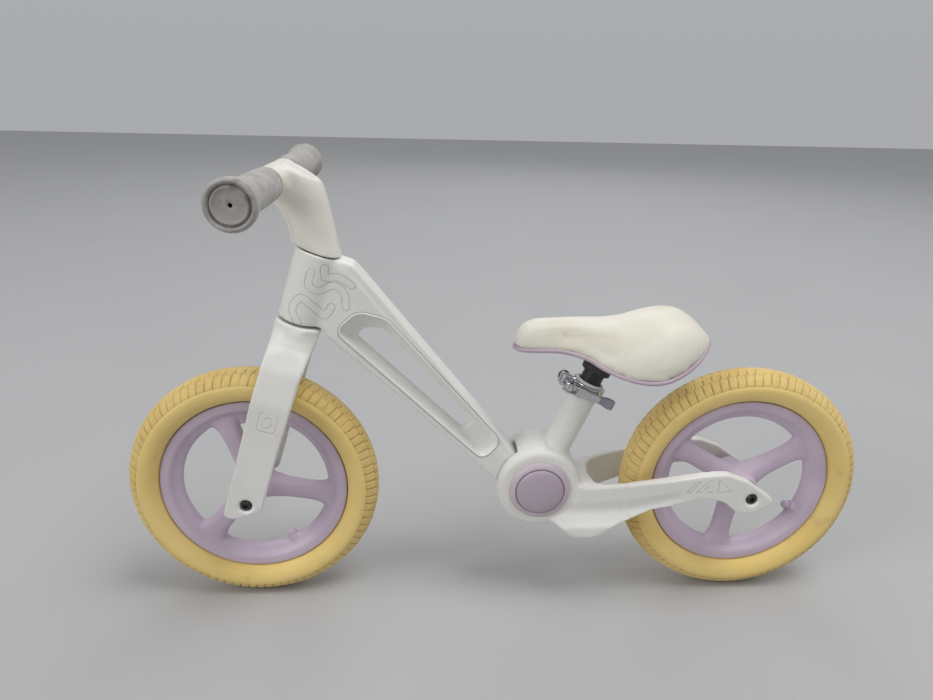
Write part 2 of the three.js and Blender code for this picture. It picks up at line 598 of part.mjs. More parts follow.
// ---------- seat ----------
// Half-widths, upper line and lower edge of the saddle, from nose to tail.
const saddleHalfWidth = new THREE.SplineCurve([
  [0, 0], [0.03, 14], [0.12, 22], [0.25, 26], [0.4, 37],
  [0.55, 54], [0.7, 62], [0.84, 56], [0.95, 38], [1, 0],
].map(([t, w]) => new THREE.Vector2(t, w)));
const saddleTop = new THREE.SplineCurve([
  [0, 336], [0.1, 353], [0.25, 354], [0.45, 353], [0.6, 357], [0.75, 367], [0.86, 365], [1, 332],
].map(([t, z]) => new THREE.Vector2(t, z)));
const saddleEdge = new THREE.SplineCurve([
  [0, 332], [0.08, 326], [0.22, 320], [0.4, 302], [0.55, 296], [0.7, 303], [0.85, 324], [1, 328],
].map(([t, z]) => new THREE.Vector2(t, z)));

function valueAt(curve, t) {
  let low = 0;
  let high = 1;
  for (let i = 0; i < 24; i += 1) {
    const middle = (low + high) / 2;
    if (curve.getPoint(middle).x < t) low = middle;
    else high = middle;
  }
  return curve.getPoint((low + high) / 2).y;
}

// A sphere drawn out to the saddle's form, made smaller by inset and lowered by drop.
function saddleForm(inset, drop, floor = null) {
  const geometry = new THREE.SphereGeometry(1, 12, 16).rotateZ(Math.PI / 2);
  const place = geometry.attributes.position;
  const length = SADDLE_REAR - SADDLE_FRONT;
  for (let i = 0; i < place.count; i += 1) {
    const t = (1 + place.getX(i)) / 2;
    const across = place.getY(i);
    const up = place.getZ(i);
    const round = Math.hypot(across, up) || 1;
    const fullness = Math.sqrt(Math.abs(across / round)) * Math.sign(across);
    const width = Math.max(valueAt(saddleHalfWidth, t) - inset * Math.min(1, round * 4), 0);
    const edge = floor ?? valueAt(saddleEdge, t);
    const crown = valueAt(saddleTop, t) - drop;
    const lift = Math.max(up / round, 0);
    const belly = Math.max(-up / round, 0) * 2 * Math.min(1, round * 2);
    place.setX(i, SADDLE_FRONT + inset + t * (length - 2 * inset));
    place.setY(i, fullness * width);
    place.setZ(i, edge + (crown - edge) * lift ** 0.8 * Math.min(1, round * 1.2) - belly);
  }
  return toSolid(geometry);
}

function addSeat() {
  const outer = saddleForm(0, 0);
  const hollow = saddleForm(7, 15, 290);
  addPiece('saddle_cushion', cut(outer, hollow), VINYL);
  const shell = saddleForm(7.6, 15.5, 290).intersect(saddleForm(1, 1));
  const under = saddleForm(12, 20, 270);
  const socket = toMast(uprightDisc(17, 154, 190)).intersect(saddleForm(9, 17, 270));
  const postHole = toMast(uprightDisc(POST_RADIUS + GAP, 140, 176));
  const boltHole = toMast(discSolid(3.3, -30, 30, 0, 164, 12));
  addPiece('saddle_base', cut(joined(cut(shell, under), socket), postHole, boltHole), LILAC);
  const post = cut(uprightDisc(POST_RADIUS, 57, 175), uprightDisc(POST_RADIUS - 2, 50, 172),
    discSolid(3.3, -30, 30, 0, 164, 12));
  addPiece('seat_post', post, BLACK_PLASTIC, seatMast);
  const bolt = joined(discSolid(3, -17.5, 17.5, 0, 164, 12), discSolid(5, 17.3, 21, 0, 164, 16),
    discSolid(5, -21, -17.3, 0, 164, 6));
  addPiece('saddle_bolt', bolt, DARK_STEEL, seatMast);
}

// ---------- the bike ----------
addPiece('front_frame', frontFrameSolid(), PAINT);
addPiece('rear_frame', rearFrameSolid(), PAINT);
addSteering();
addHub();
addWheel('front', -WHEELBASE / 2, FRONT_SPOKE_ANGLES, FRONT_VALVE_ANGLE);
addWheel('rear', WHEELBASE / 2, REAR_SPOKE_ANGLES, REAR_VALVE_ANGLE);
addAxle('front', -WHEELBASE / 2, BLADE_INNER, BLADE_OUTER);
addAxle('rear', WHEELBASE / 2, STAY_INNER, STAY_OUTER);
addClamp();
addSeat();

export default bike;
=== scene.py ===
"""Folding balance bike: the finished surface over the CAD frame."""
import math

import bmesh
import bpy
import numpy as np
from mathutils import Matrix, Vector


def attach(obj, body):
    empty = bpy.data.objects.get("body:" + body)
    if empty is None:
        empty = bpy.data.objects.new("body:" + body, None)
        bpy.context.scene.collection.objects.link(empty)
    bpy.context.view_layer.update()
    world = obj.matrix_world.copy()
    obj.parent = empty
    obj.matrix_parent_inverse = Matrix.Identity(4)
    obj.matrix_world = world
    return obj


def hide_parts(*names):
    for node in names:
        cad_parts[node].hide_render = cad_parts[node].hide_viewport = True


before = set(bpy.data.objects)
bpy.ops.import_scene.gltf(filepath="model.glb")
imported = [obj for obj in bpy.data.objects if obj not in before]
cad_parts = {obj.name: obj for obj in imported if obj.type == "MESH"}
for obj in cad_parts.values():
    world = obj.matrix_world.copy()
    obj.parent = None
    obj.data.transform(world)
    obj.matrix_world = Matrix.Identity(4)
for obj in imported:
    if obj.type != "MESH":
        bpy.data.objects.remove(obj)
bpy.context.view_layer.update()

# ---------- driving dimensions, in millimetres ----------
MM = 0.001
AXLE_X = 295.5
AXLE_Z = 147.0
TYRE_RADIUS = 147.0
STEERING_TILT = math.radians(17.2)
HEAD_BOTTOM = 216.0
HEAD_TOP = 296.0
HEAD_RADIUS = 25.5
STEERER_RADIUS = 14.2
BLADE_OUTER = 57.5
BLADE_INNER = 45.0
CROWN_RADIUS = 29.0
BAR_X = -249.0
BAR_Z = 506.0
BAR_END = 193.0
PIVOT_X = 43.5
PIVOT_Z = 152.0
HUB_PLACE = (PIVOT_X, 0, PIVOT_Z)
HUB_SHELL_RADIUS = 50.0
HUB_FACE = 33.0
BUTTON_RADIUS = 28.2
BEAM_HALF_WIDTH = 18.0
KNUCKLE_RADIUS = 40.0
SEAT_TILT = math.radians(23)
SEAT_TUBE_BASE_X = 47.5
SEAT_TUBE_RADIUS = 17.2
SEAT_TUBE_TOP = 138.0
POST_RADIUS = 12.7
STAY_OUTER = 52.0
STAY_INNER = 40.0
SADDLE_FRONT = 8.0
SADDLE_REAR = 232.5
LOCK_BORE_RADIUS = 24.0
CAST_VOXEL = 1.25
WELD_GAP = 0.0005


# ---------- outlines ----------
def rounded(corners, steps=10):
    """Points round a polygon of (x, y, corner radius), its corners turned into smooth curves."""
    points = []
    count = len(corners)
    for i, corner in enumerate(corners):
        at = Vector(corner[:2])
        radius = corner[2] if len(corner) > 2 else 0.0
        back = Vector(corners[i - 1][:2]) - at
        ahead = Vector(corners[(i + 1) % count][:2]) - at
        if radius == 0:
            points.append(tuple(at))
            continue
        turn = abs(back.angle(ahead))
        reach = min(radius / math.tan(turn / 2), back.length * 0.49, ahead.length * 0.49)
        start = at + back.normalized() * reach
        end = at + ahead.normalized() * reach
        for k in range(steps + 1):
            t = k / steps
            points.append(tuple(start * (1 - t) ** 2 + at * (2 * t * (1 - t)) + end * t ** 2))
    return points


def inset(points, distance):
    """The outline moved towards its inside by a distance, or by a list of distances, point by point."""
    pts = np.array(points)
    distance = np.broadcast_to(np.asarray(distance, dtype=float), (len(pts),))[:, None]
    before = np.roll(pts, 1, axis=0)
    after = np.roll(pts, -1, axis=0)
    area = np.sum(pts[:, 0] * after[:, 1] - after[:, 0] * pts[:, 1])
    along = after - before
    along /= np.maximum(np.linalg.norm(along, axis=1, keepdims=True), 1e-9)
    inward = np.c_[-along[:, 1], along[:, 0]] * (1 if area > 0 else -1)
    return [tuple(p) for p in pts + inward * distance]


def spline(points, count, closed=False):
    """A smooth curve through the points, as count samples."""
    pts = np.array(points, dtype=float)
    spans = len(pts) if closed else len(pts) - 1
    samples = []
    for s in np.linspace(0, spans, count, endpoint=not closed):
        i = min(int(s), spans - 1)
        t = s - i
        if closed:
            p = [pts[(i + k) % len(pts)] for k in (-1, 0, 1, 2)]
        else:
            p = [pts[min(max(i + k, 0), len(pts) - 1)] for k in (-1, 0, 1, 2)]
        samples.append(0.5 * (2 * p[1] + (p[2] - p[0]) * t
                              + (2 * p[0] - 5 * p[1] + 4 * p[2] - p[3]) * t ** 2
                              + (3 * p[1] - p[0] - 3 * p[2] + p[3]) * t ** 3))
    return [tuple(s) for s in samples]


def turns(count):
    """Angles in equal steps round a full turn."""
    return [2 * math.pi * k / count for k in range(count)]


def quarter_turn(steps):
    """Angles in equal steps from zero to a right angle."""
    return [math.pi / 2 * k / steps for k in range(steps + 1)]


def circle(radius, segments=64):
    return [(radius * math.cos(a), radius * math.sin(a)) for a in turns(segments)]


def signed_power(value, power):
    return math.copysign(abs(value) ** power, value)


def both_sides(layers):
    """Layers given from an outer face inwards, laid on the minus side and then on the plus side."""
    return [(-level, outline) for level, outline in layers] + layers[::-1]


# ---------- meshes ----------
def mesh_object(name, verts, faces):
    mesh = bpy.data.meshes.new(name)
    mesh.from_pydata([Vector(v) * MM for v in verts], [], faces)
    mesh.update()
    obj = bpy.data.objects.new(name, mesh)
    bpy.context.collection.objects.link(obj)
    return obj


PLACE = {
    "y": lambda a, b, level: (a, level, b),
    "x": lambda a, b, level: (level, a, b),
    "z": lambda a, b, level: (a, b, level),
}


def grid_faces(rings, count, closed=False):
    """Quads between each ring of points and the next, and from the last back to the first if closed."""
    pairs = [(i * count, (i + 1) % rings * count) for i in range(rings if closed else rings - 1)]
    return [
        (low + k, low + (k + 1) % count, high + (k + 1) % count, high + k)
        for low, high in pairs for k in range(count)
    ]


def lofted(name, layers, axis="y"):
    """A closed solid through a stack of (level, outline) layers with equal counts of points."""
    count = len(layers[0][1])
    verts = [PLACE[axis](a, b, level) for level, outline in layers for a, b in outline]
    ends = [tuple(reversed(range(count))), tuple(range(len(verts) - count, len(verts)))]
    return closed_mesh(name, verts, grid_faces(len(layers), count) + ends)


def closed_mesh(name, verts, faces):
    """A closed mesh with its faces turned outwards, whichever way they were wound."""
    obj = mesh_object(name, verts, faces)
    mesh = obj.data
    mesh.calc_loop_triangles()
    points = np.array([v.co for v in mesh.vertices])
    tris = np.array([t.vertices for t in mesh.loop_triangles])
    a, b, c = points[tris[:, 0]], points[tris[:, 1]], points[tris[:, 2]]
    if np.sum(np.einsum("ij,ij->i", a, np.cross(b, c))) < 0:
        mesh.flip_normals()
    return obj


def prism(name, outline, low, high, axis="y"):
    return lofted(name, [(low, outline), (high, outline)], axis)


def plate(name, outline, half, edge, axis="y"):
    """A flat plate whose edges are rounded over on both sides."""
    side = [
        (half - edge + edge * math.sin(a), inset(outline, edge * (1 - math.cos(a))))
        for a in reversed(quarter_turn(5))
    ]
    return lofted(name, both_sides(side), axis)


def turned(name, profile, segments=96, place=(0, 0, 0), axis="y"):
    """A closed profile of (radius, height) points turned about an axis."""
    verts = [
        PLACE[axis](radius * math.cos(a), radius * math.sin(a), height)
        for a in turns(segments) for radius, height in profile
    ]
    obj = closed_mesh(name, verts, grid_faces(segments, len(profile), True))
    weld = obj.modifiers.new("weld", "WELD")
    weld.merge_threshold = WELD_GAP * MM
    return moved(settle(obj), place)


def disc(name, radius, low, high, segments=64, place=(0, 0, 0), axis="y"):
    return moved(prism(name, circle(radius, segments), low, high, axis), place)


def moved(obj, place=(0, 0, 0), tilt=0.0):
    """Tips the mesh about the y axis and moves it, in its vertices."""
    obj.data.transform(Matrix.Translation(Vector(place) * MM) @ Matrix.Rotation(tilt, 4, "Y"))
    return obj


def pointed(obj, angle, place):
    """Turns an upright mesh to point out from a wheel's centre at an angle in degrees."""
    return moved(obj, place, math.radians(90 - angle))


def to_steering(obj):
    return moved(obj, (-AXLE_X, 0, AXLE_Z), STEERING_TILT)


def to_mast(obj):
    return moved(obj, (SEAT_TUBE_BASE_X, 0, PIVOT_Z), SEAT_TILT)


def settle(obj):
    """Applies the modifiers to the mesh."""
    graph = bpy.context.evaluated_depsgraph_get()
    graph.update()
    old = obj.data
    new = bpy.data.meshes.new_from_object(obj.evaluated_get(graph))
    obj.modifiers.clear()
    obj.data = new
    new.name = obj.name
    bpy.data.meshes.remove(old)
    return obj


def boolean(obj, operation, tools):
    for tool in tools:
        step = obj.modifiers.new("boolean", "BOOLEAN")
        step.operation = operation
        step.solver = "MANIFOLD"
        step.object = tool
    settle(obj)
    discard(tools)
    return obj


def discard(objects):
    for obj in objects:
        mesh = obj.data
        bpy.data.objects.remove(obj)
        bpy.data.meshes.remove(mesh)


def joined(obj, *tools):
    return boolean(obj, "UNION", tools)


def cut(obj, *tools):
    return boolean(obj, "DIFFERENCE", tools)


def common(obj, *tools):
    return boolean(obj, "INTERSECT", tools)


def cast(obj, voxel=CAST_VOXEL, rounds=8):
    """Remeshes a solid finely and rounds its edges and corners as a casting's are."""
    remesh = obj.modifiers.new("remesh", "REMESH")
    remesh.mode = "VOXEL"
    remesh.voxel_size = voxel * MM
    smooth = obj.modifiers.new("smooth", "SMOOTH")
    smooth.factor = 0.5
    smooth.iterations = rounds
    return smooth_shaded(settle(obj))


def smooth_shaded(obj):
    obj.data.shade_smooth()
    return obj


def laid_on(obj, *parts):
    """Thin raised parts laid on a finished casting as shells of their own."""
    bm = bmesh.new()
    for piece in (obj, *parts):
        bm.from_mesh(piece.data)
    bm.to_mesh(obj.data)
    bm.free()
    discard(parts)
    smooth_shaded(obj)


def points_of(obj):
    flat = np.empty(len(obj.data.vertices) * 3)
    obj.data.vertices.foreach_get("co", flat)
    return flat.reshape(-1, 3) / MM


def set_points(obj, points):
    obj.data.vertices.foreach_set("co", (points * MM).ravel())
    obj.data.update()


def soften(obj, weights, rounds):
    """Smooths the mesh where the weights say, for a wide fillet between two forms."""
    group = obj.vertex_groups.new(name="soften")
    for level in np.unique(np.round(weights, 1)):
        if level > 0:
            chosen = np.nonzero(np.abs(weights - level) <= 0.05)[0].tolist()
            group.add(chosen, float(level), "REPLACE")
    smooth = obj.modifiers.new("smooth", "SMOOTH")
    smooth.factor = 0.5
    smooth.iterations = rounds
    smooth.vertex_group = group.name
    settle(obj)
    obj.vertex_groups.clear()
    smooth_shaded(obj)


def falloff(distance, near, far):
    """1 inside near, 0 beyond far, and smooth between."""
    t = np.clip((far - distance) / (far - near), 0, 1)
    return t * t * (3 - 2 * t)


def distance_to_path(points, path, closed=False):
    """Each point's distance to a polyline, both seen from the side."""
    points = points[:, [0, 2]]
    path = np.array(path)
    ends = np.roll(path, -1, axis=0) if closed else path[1:]
    starts = path if closed else path[:-1]
    best = np.full(len(points), 1e9)
    for a, b in zip(starts, ends):
        line = b - a
        length = max(line @ line, 1e-9)
        t = np.clip((points - a) @ line / length, 0, 1)
        gap = points - a - t[:, None] * line
        best = np.minimum(best, np.einsum("ij,ij->i", gap, gap))
    return np.sqrt(best)


def attribute(obj, name, values):
    """Stores one number at each vertex, for a material to read."""
    store = obj.data.attributes.new(name, "FLOAT", "POINT")
    store.data.foreach_set("value", np.asarray(values, dtype=np.float32))


def tube_along(name, path, radius, segments=12):
    """A round tube along a closed path of 3-D points."""
    path = np.array(path, dtype=float)
    ahead = np.roll(path, -1, axis=0) - np.roll(path, 1, axis=0)
    ahead /= np.linalg.norm(ahead, axis=1, keepdims=True)
    up = np.array([0.0, 0.0, 1.0]) if abs(ahead[0][2]) < 0.9 else np.array([0.0, 1.0, 0.0])
    verts = []
    for at, along in zip(path, ahead):
        up = up - along * (up @ along)
        up /= np.linalg.norm(up)
        side = np.cross(along, up)
        verts += [at + radius * (math.cos(a) * up + math.sin(a) * side) for a in turns(segments)]
    return smooth_shaded(closed_mesh(name, verts, grid_faces(len(path), segments, True)))


# ---------- front frame ----------
BEAM = rounded([
    (-208, 429.5), (-171, 418.4, 14), (15, 189, 0), (PIVOT_X, 152), (0, 148.5),
    (-110, 254.5, 60), (-204, 338, 9), (-212, 349),
])
SLOT_LIP = rounded([
    (-191, 344, 11), (-167, 365.5, 20), (-136, 357.5, 26), (-5, 208, 11), (-24, 186, 12),
], 14)
SLOT_OPENING = rounded([
    (-171, 335, 8), (-159, 345, 10), (-139, 343, 20), (-34, 229, 9), (-48, 218, 9),
], 14)
# The bowl round the slot: how far in from the side face, and how far across to the opening.
BOWL = [
    (-3, -0.04), (0, 0), (2.6, 0.03), (5.2, 0.10), (7.6, 0.22),
    (9.6, 0.38), (11.2, 0.58), (12.4, 0.8), (13.2, 1),
]


# The beam's edge, from its side face inwards: how far out, and the inset above and below.
BEAM_EDGE = [
    (BEAM_HALF_WIDTH, 10.0, 2.4), (17.5, 9.0, 1.5), (16.0, 6.4, 0.5),
    (13.4, 3.0, 0), (11.0, 0.5, 0), (10.2, 0, 0),
]
BEAM_TOP = ((-171, 418.4), (15, 189))
BEAM_TOP_MARGIN = 3.05


def slot_tool():
    lip, opening = np.array(SLOT_LIP), np.array(SLOT_OPENING)
    side = [(BEAM_HALF_WIDTH - depth, (lip + (opening - lip) * t).tolist()) for depth, t in BOWL]
    return lofted("slot", both_sides(side))


def beam_casting():
    """The beam, with a broad flat chamfer along its top edges and rounded edges below."""
    x, z = np.array(BEAM).T
    (front_x, front_z), (rear_x, rear_z) = BEAM_TOP
    fall, run = front_z - rear_z, rear_x - front_x
    over_line = ((x - rear_x) * fall + (z - rear_z) * run) / math.hypot(fall, run)
    top = (over_line > -BEAM_TOP_MARGIN) | (z > 410)
    layers = [(level, inset(BEAM, np.where(top, above, below))) for level, above, below in BEAM_EDGE]
    return lofted("front_casting", both_sides(layers))


def front_frame():
    body = beam_casting()
    cut(body, disc("clear", HUB_SHELL_RADIUS + 1, -30, 30, 128, HUB_PLACE))
    neck = plate("neck", BEAM, 16.5, 1.0)
    head = to_steering(disc("head", HEAD_RADIUS, HEAD_BOTTOM, HEAD_TOP, 128, axis="z"))
    knuckle = disc("knuckle", KNUCKLE_RADIUS, -16.5, 16.5, 128, HUB_PLACE)
    joined(body, neck, head, knuckle)
    cut(
        body,
        slot_tool(),
        to_steering(disc("bore", STEERER_RADIUS + 1.3, 200, 310, axis="z")),
        to_steering(disc("seat", 20.3, 190, HEAD_BOTTOM + 8, axis="z")),
        to_steering(disc("seat", 20.3, HEAD_TOP - 8, 320, axis="z")),
        to_steering(disc("below", 34, 180, HEAD_BOTTOM, axis="z")),
        disc("lock_bore", LOCK_BORE_RADIUS, -30, 10, 64, HUB_PLACE),
        disc("pin_bore", 8.3, -30, 30, 64, HUB_PLACE),
    )
    cast(body, 1.0)
    p = points_of(body)
    along_beam = distance_to_path(p, [(-178, 440), (-192, 392), (-212, 330)])
    slot_gap = distance_to_path(p, SLOT_LIP, True)
    soften(body, falloff(along_beam, 5, 26) * (1 - falloff(slot_gap, 6, 14)), 50)
    soften(body, 1 - falloff(slot_gap, 3, 7), 14)
    cut(body, disc("lock_bore", LOCK_BORE_RADIUS, -30, 10.4, 96, HUB_PLACE))
    lip = inset(SLOT_LIP, -1.0)
    laid_on(body, *[
        tube_along("bead", [(x, side * BEAM_HALF_WIDTH, z) for x, z in lip], 1.0) for side in (-1, 1)
    ])
    p = points_of(body)
    side_gap = distance_to_path(p, SLOT_LIP, True)
    # slot_line: distance to the slot's lip on the side faces, which the paint turns into a painted shade line
    # in the crease beside the bead.
    attribute(body, "slot_line", np.where(np.abs(p[:, 1]) > 15, side_gap, 99))
    attribute(body, "graphic", head_graphic(p))
    return body


def ribbon_outline(p, centre_lines, half, shown):
    """Distance to the outline of plain ribbons drawn on the bike's sides, where they are shown."""
    gap = np.full(len(p), 99.0)
    for line in centre_lines:
        gap = np.minimum(gap, distance_to_path(p, spline(line, 40)))
    return np.where(shown, np.abs(gap - half), 99)


def head_graphic(p):
    """Three plain wavy ribbons on the head and the top of the beam."""
    waves = [
        [(-231, 356), (-236, 372), (-226, 384), (-214, 374), (-203, 362), (-195, 372)],
        [(-214, 412), (-217, 398), (-206, 391), (-192, 396), (-181, 388), (-179, 372)],
        [(-200, 416), (-199, 405), (-186, 405), (-172, 396)],
    ]
    return ribbon_outline(p, waves, 4.0, np.abs(p[:, 1]) > 6)


# ---------- rear frame ----------
STAY_SIDE = rounded([
    (45, 160), (110, 157, 30), (170, 169, 60), (235, 179.5, 60), (262, 181, 20), (288, 171, 30),
    (327.5, 143, 9), (300, 128.5, 14), (281, 128, 12), (262, 144, 20), (238, 149.5, 40),
    (174, 132, 40), (140, 112, 30), (112, 88, 25), (84, 84, 20), (62, 105, 10), (48, 130),
])
BELLY_CREASE = spline([(60, 118), (80, 121), (110, 125), (150, 132), (190, 143), (230, 153)], 60)


def belly_lip(p):
    """Draws the lower part of each stay outwards below a long soft crease."""
    crease = np.interp(p[:, 0], *np.array(BELLY_CREASE).T, left=0, right=0)
    below = np.clip((crease - p[:, 2]) / 22, 0, 1)
    fade = falloff(np.abs(p[:, 0] - 130), 62, 92)
    stay = falloff(-np.abs(p[:, 1]), -32, -26) * fade
    push = 10.0 * below ** 1.4 * stay
    hollow = -1.8 * falloff(np.abs(p[:, 2] - crease - 3), 0, 12) * stay
    moved_out = np.minimum(np.abs(p[:, 1]) + push + hollow, np.maximum(np.abs(p[:, 1]), 52.5))
    p[:, 1] = moved_out * np.sign(p[:, 1])
    p[:, 2] += 6.5 * below ** 1.4 * stay
    return p


def stay_plan():
    half = [
        (50, 0), (50, 34), (86, 35, 30), (150, 47, 60), (196, STAY_OUTER, 60), (330, STAY_OUTER),
        (330, STAY_INNER), (196, STAY_INNER, 60), (146, 38, 30), (112, 31, 24), (108, 0),
    ]
    return rounded(half + [(x, -y, *r) for x, y, *r in reversed(half[1:-1])])


def bolt_nearness(p, x, z, out):
    """How far each point near an outer face lies inside ten millimetres of the bolt's axis."""
    return np.where(np.abs(p[:, 1]) > out - 4, np.clip(10 - np.hypot(p[:, 0] - x, p[:, 2] - z), 0, 10), 0)


def hub_barrel():
    edge = 7.0
    half = [
        (HUB_SHELL_RADIUS - edge * (1 - math.cos(a)), HUB_FACE - edge * (1 - math.sin(a)))
        for a in quarter_turn(8)
    ] + [(0.01, HUB_FACE)]
    return turned("rear_casting", [(r, -h) for r, h in reversed(half)] + half, 128, HUB_PLACE)


def hub_cavity():
    """The space between the cheeks that the knuckle fills and the beam sweeps."""
    reach, first, last = 80, math.radians(122), math.radians(295)
    sweep = [(PIVOT_X, PIVOT_Z)] + [
        (PIVOT_X + reach * math.cos(a), PIVOT_Z + reach * math.sin(a)) for a in np.linspace(first, last, 41)
    ]
    return prism("sweep", sweep, -17, 17)


def axle_bolt_holes(x, z, outer):
    """Through hole, head recess and a small countersink at each side."""
    tools = [disc("hole", 3.5, -outer - 2, outer + 2, 32, (x, 0, z))]
    for side in (-1, 1):
        profile = [
            (0.01, outer - 5.3), (7.2, outer - 5.3), (7.2, outer - 2.2),
            (10.2, outer + 0.8), (0.01, outer + 0.8),
        ]
        tools.append(turned("recess", [(r, side * h) for r, h in profile], 64, (x, 0, z)))
    return tools


def rear_frame():
    body = hub_barrel()
    stays = prism("stays", STAY_SIDE, -60, 60)
    common(stays, prism("plan", stay_plan(), 60, 200, "z"))
    cut(
        stays,
        disc("face", 46, HUB_FACE, 60, 96, HUB_PLACE),
        disc("face", 46, -60, -HUB_FACE, 96, HUB_PLACE),
    )
    mast = to_mast(disc("mast", SEAT_TUBE_RADIUS, 30, SEAT_TUBE_TOP, 96, axis="z"))
    joined(body, stays, mast)
    cut(
        body,
        hub_cavity(),
        disc("pocket", KNUCKLE_RADIUS + 1, -17, 17, 96, HUB_PLACE),
        to_mast(disc("bore", 13, 44, SEAT_TUBE_TOP + 5, axis="z")),
        disc("button_seat", BUTTON_RADIUS + 0.6, -40, -25.3, 64, HUB_PLACE),
        disc("lock_bore", LOCK_BORE_RADIUS, -40, 0, 64, HUB_PLACE),
        disc("pin_bore", 8.3, 0, 40, 64, HUB_PLACE),
        disc("pin_head", 12.5, 27.7, 40, 64, HUB_PLACE),
        *axle_bolt_holes(AXLE_X, AXLE_Z, STAY_OUTER),
    )
    cast(body)
    cut(
        body,
        disc("button_seat", BUTTON_RADIUS + 0.5, -40, -25.0, 96, HUB_PLACE),
        disc("lock_bore", LOCK_BORE_RADIUS, -40, 0, 96, HUB_PLACE),
    )
    p = points_of(body)
    flat = p[:, [0, 2]] - (PIVOT_X, PIVOT_Z)
    from_hub = np.abs(np.linalg.norm(flat, axis=1) - HUB_SHELL_RADIUS - 1)
    behind = p[:, 0] > PIVOT_X + 6
    away = np.abs(p[:, 1]) > 19
    mast_root = falloff(np.linalg.norm(p - (PIVOT_X + 24, 0, PIVOT_Z + 50), axis=1), 24, 36)
    stay_root = falloff(from_hub, 2, 16) * behind * away * (p[:, 2] < PIVOT_Z + 26)
    soften(body, np.maximum(mast_root * behind, stay_root * 0.9), 60)
    p = belly_lip(points_of(body))
    set_points(body, p)
    lower_stay = falloff(np.abs(p[:, 0] - 130), 70, 95) * falloff(p[:, 2], 140, 150)
    soften(body, lower_stay * falloff(-np.abs(p[:, 1]), -36, -30), 24)
    p = points_of(body)
    attribute(body, "graphic", stay_graphic(p))
    # bolt_near feeds the paint's painted highlight ring round the axle bolt.
    attribute(body, "bolt_near", bolt_nearness(p, AXLE_X, AXLE_Z, STAY_OUTER))
    return body


def stay_graphic(p):
    """Distance to plain slanted bars and a triangle drawn near the dropout."""
    shapes = [
        [(214, 158), (226, 172), (230, 172), (219, 158)],
        [(226, 158), (240, 174), (245, 174), (245, 158), (240, 158), (240, 168), (232, 158)],
        [(252, 158), (252, 175), (268, 160)],
    ]
    gap = np.full(len(p), 99.0)
    for shape in shapes:
        gap = np.minimum(gap, distance_to_path(p, shape, True))
    return np.where(p[:, 1] < -46, gap, 99)


# ---------- steering ----------
def fork():
    half = [
        (20, 170, 16), (36, 158, 20), (BLADE_INNER, 125, 40), (BLADE_INNER, -30),
        (BLADE_OUTER, -30), (BLADE_OUTER, 130, 60), (50, 168, 30), (33, 196, 20), (26, 213.5, 2),
    ]
    front = rounded([(-y, s, *r) for y, s, *r in reversed(half)] + half)
    side = rounded([
        (-25.5, 213.5), (-24, 180, 40), (-24, 120, 60), (-22, 30, 60), (-21.5, -19, 4), (-10, -22, 14),
        (18.5, -1, 9), (18, 60, 60), (20, 160, 60), (25.5, 213.5),
    ])
    body = prism("fork_casting", front, -40, 40, "x")
    common(body, prism("side", side, -70, 70))
    bell = [
        (0.01, 230), (CROWN_RADIUS, 230), (CROWN_RADIUS, 207), (31, 199), (36, 190),
        (46, 181), (62, 172), (90, 165), (90, -60), (0.01, -60),
    ]
    common(body, turned("bell", bell, axis="z"))
    joined(body, disc("steerer", STEERER_RADIUS, 200, 309.5, axis="z"))
    cut(
        body,
        disc("blind", 8, 178, 312, axis="z"),
        disc("bolt_hole", 4, 160, 190, axis="z"),
        *axle_bolt_holes(0, 0, BLADE_OUTER),
    )
    cast(body, rounds=10)
    soften(body, falloff(np.abs(points_of(body)[:, 2] - 172), 14, 40) * 0.8, 30)
    p = points_of(body)
    emblem = rounded([(-11, 98, 4), (9, 98, 4), (9, 120, 4), (-11, 120, 4)])
    leaf = spline([(-5, 103), (-6, 112), (1, 116), (4, 108), (-1, 103)], 40, True)
    gap = np.minimum(distance_to_path(p, emblem, True), distance_to_path(p, leaf, True))
    attribute(body, "graphic", np.where(p[:, 1] < -50, gap, 99))
    # bolt_near feeds the paint's painted highlight ring round the axle bolt.
    attribute(body, "bolt_near", bolt_nearness(p, 0, 0, BLADE_OUTER))
    return to_steering(body)


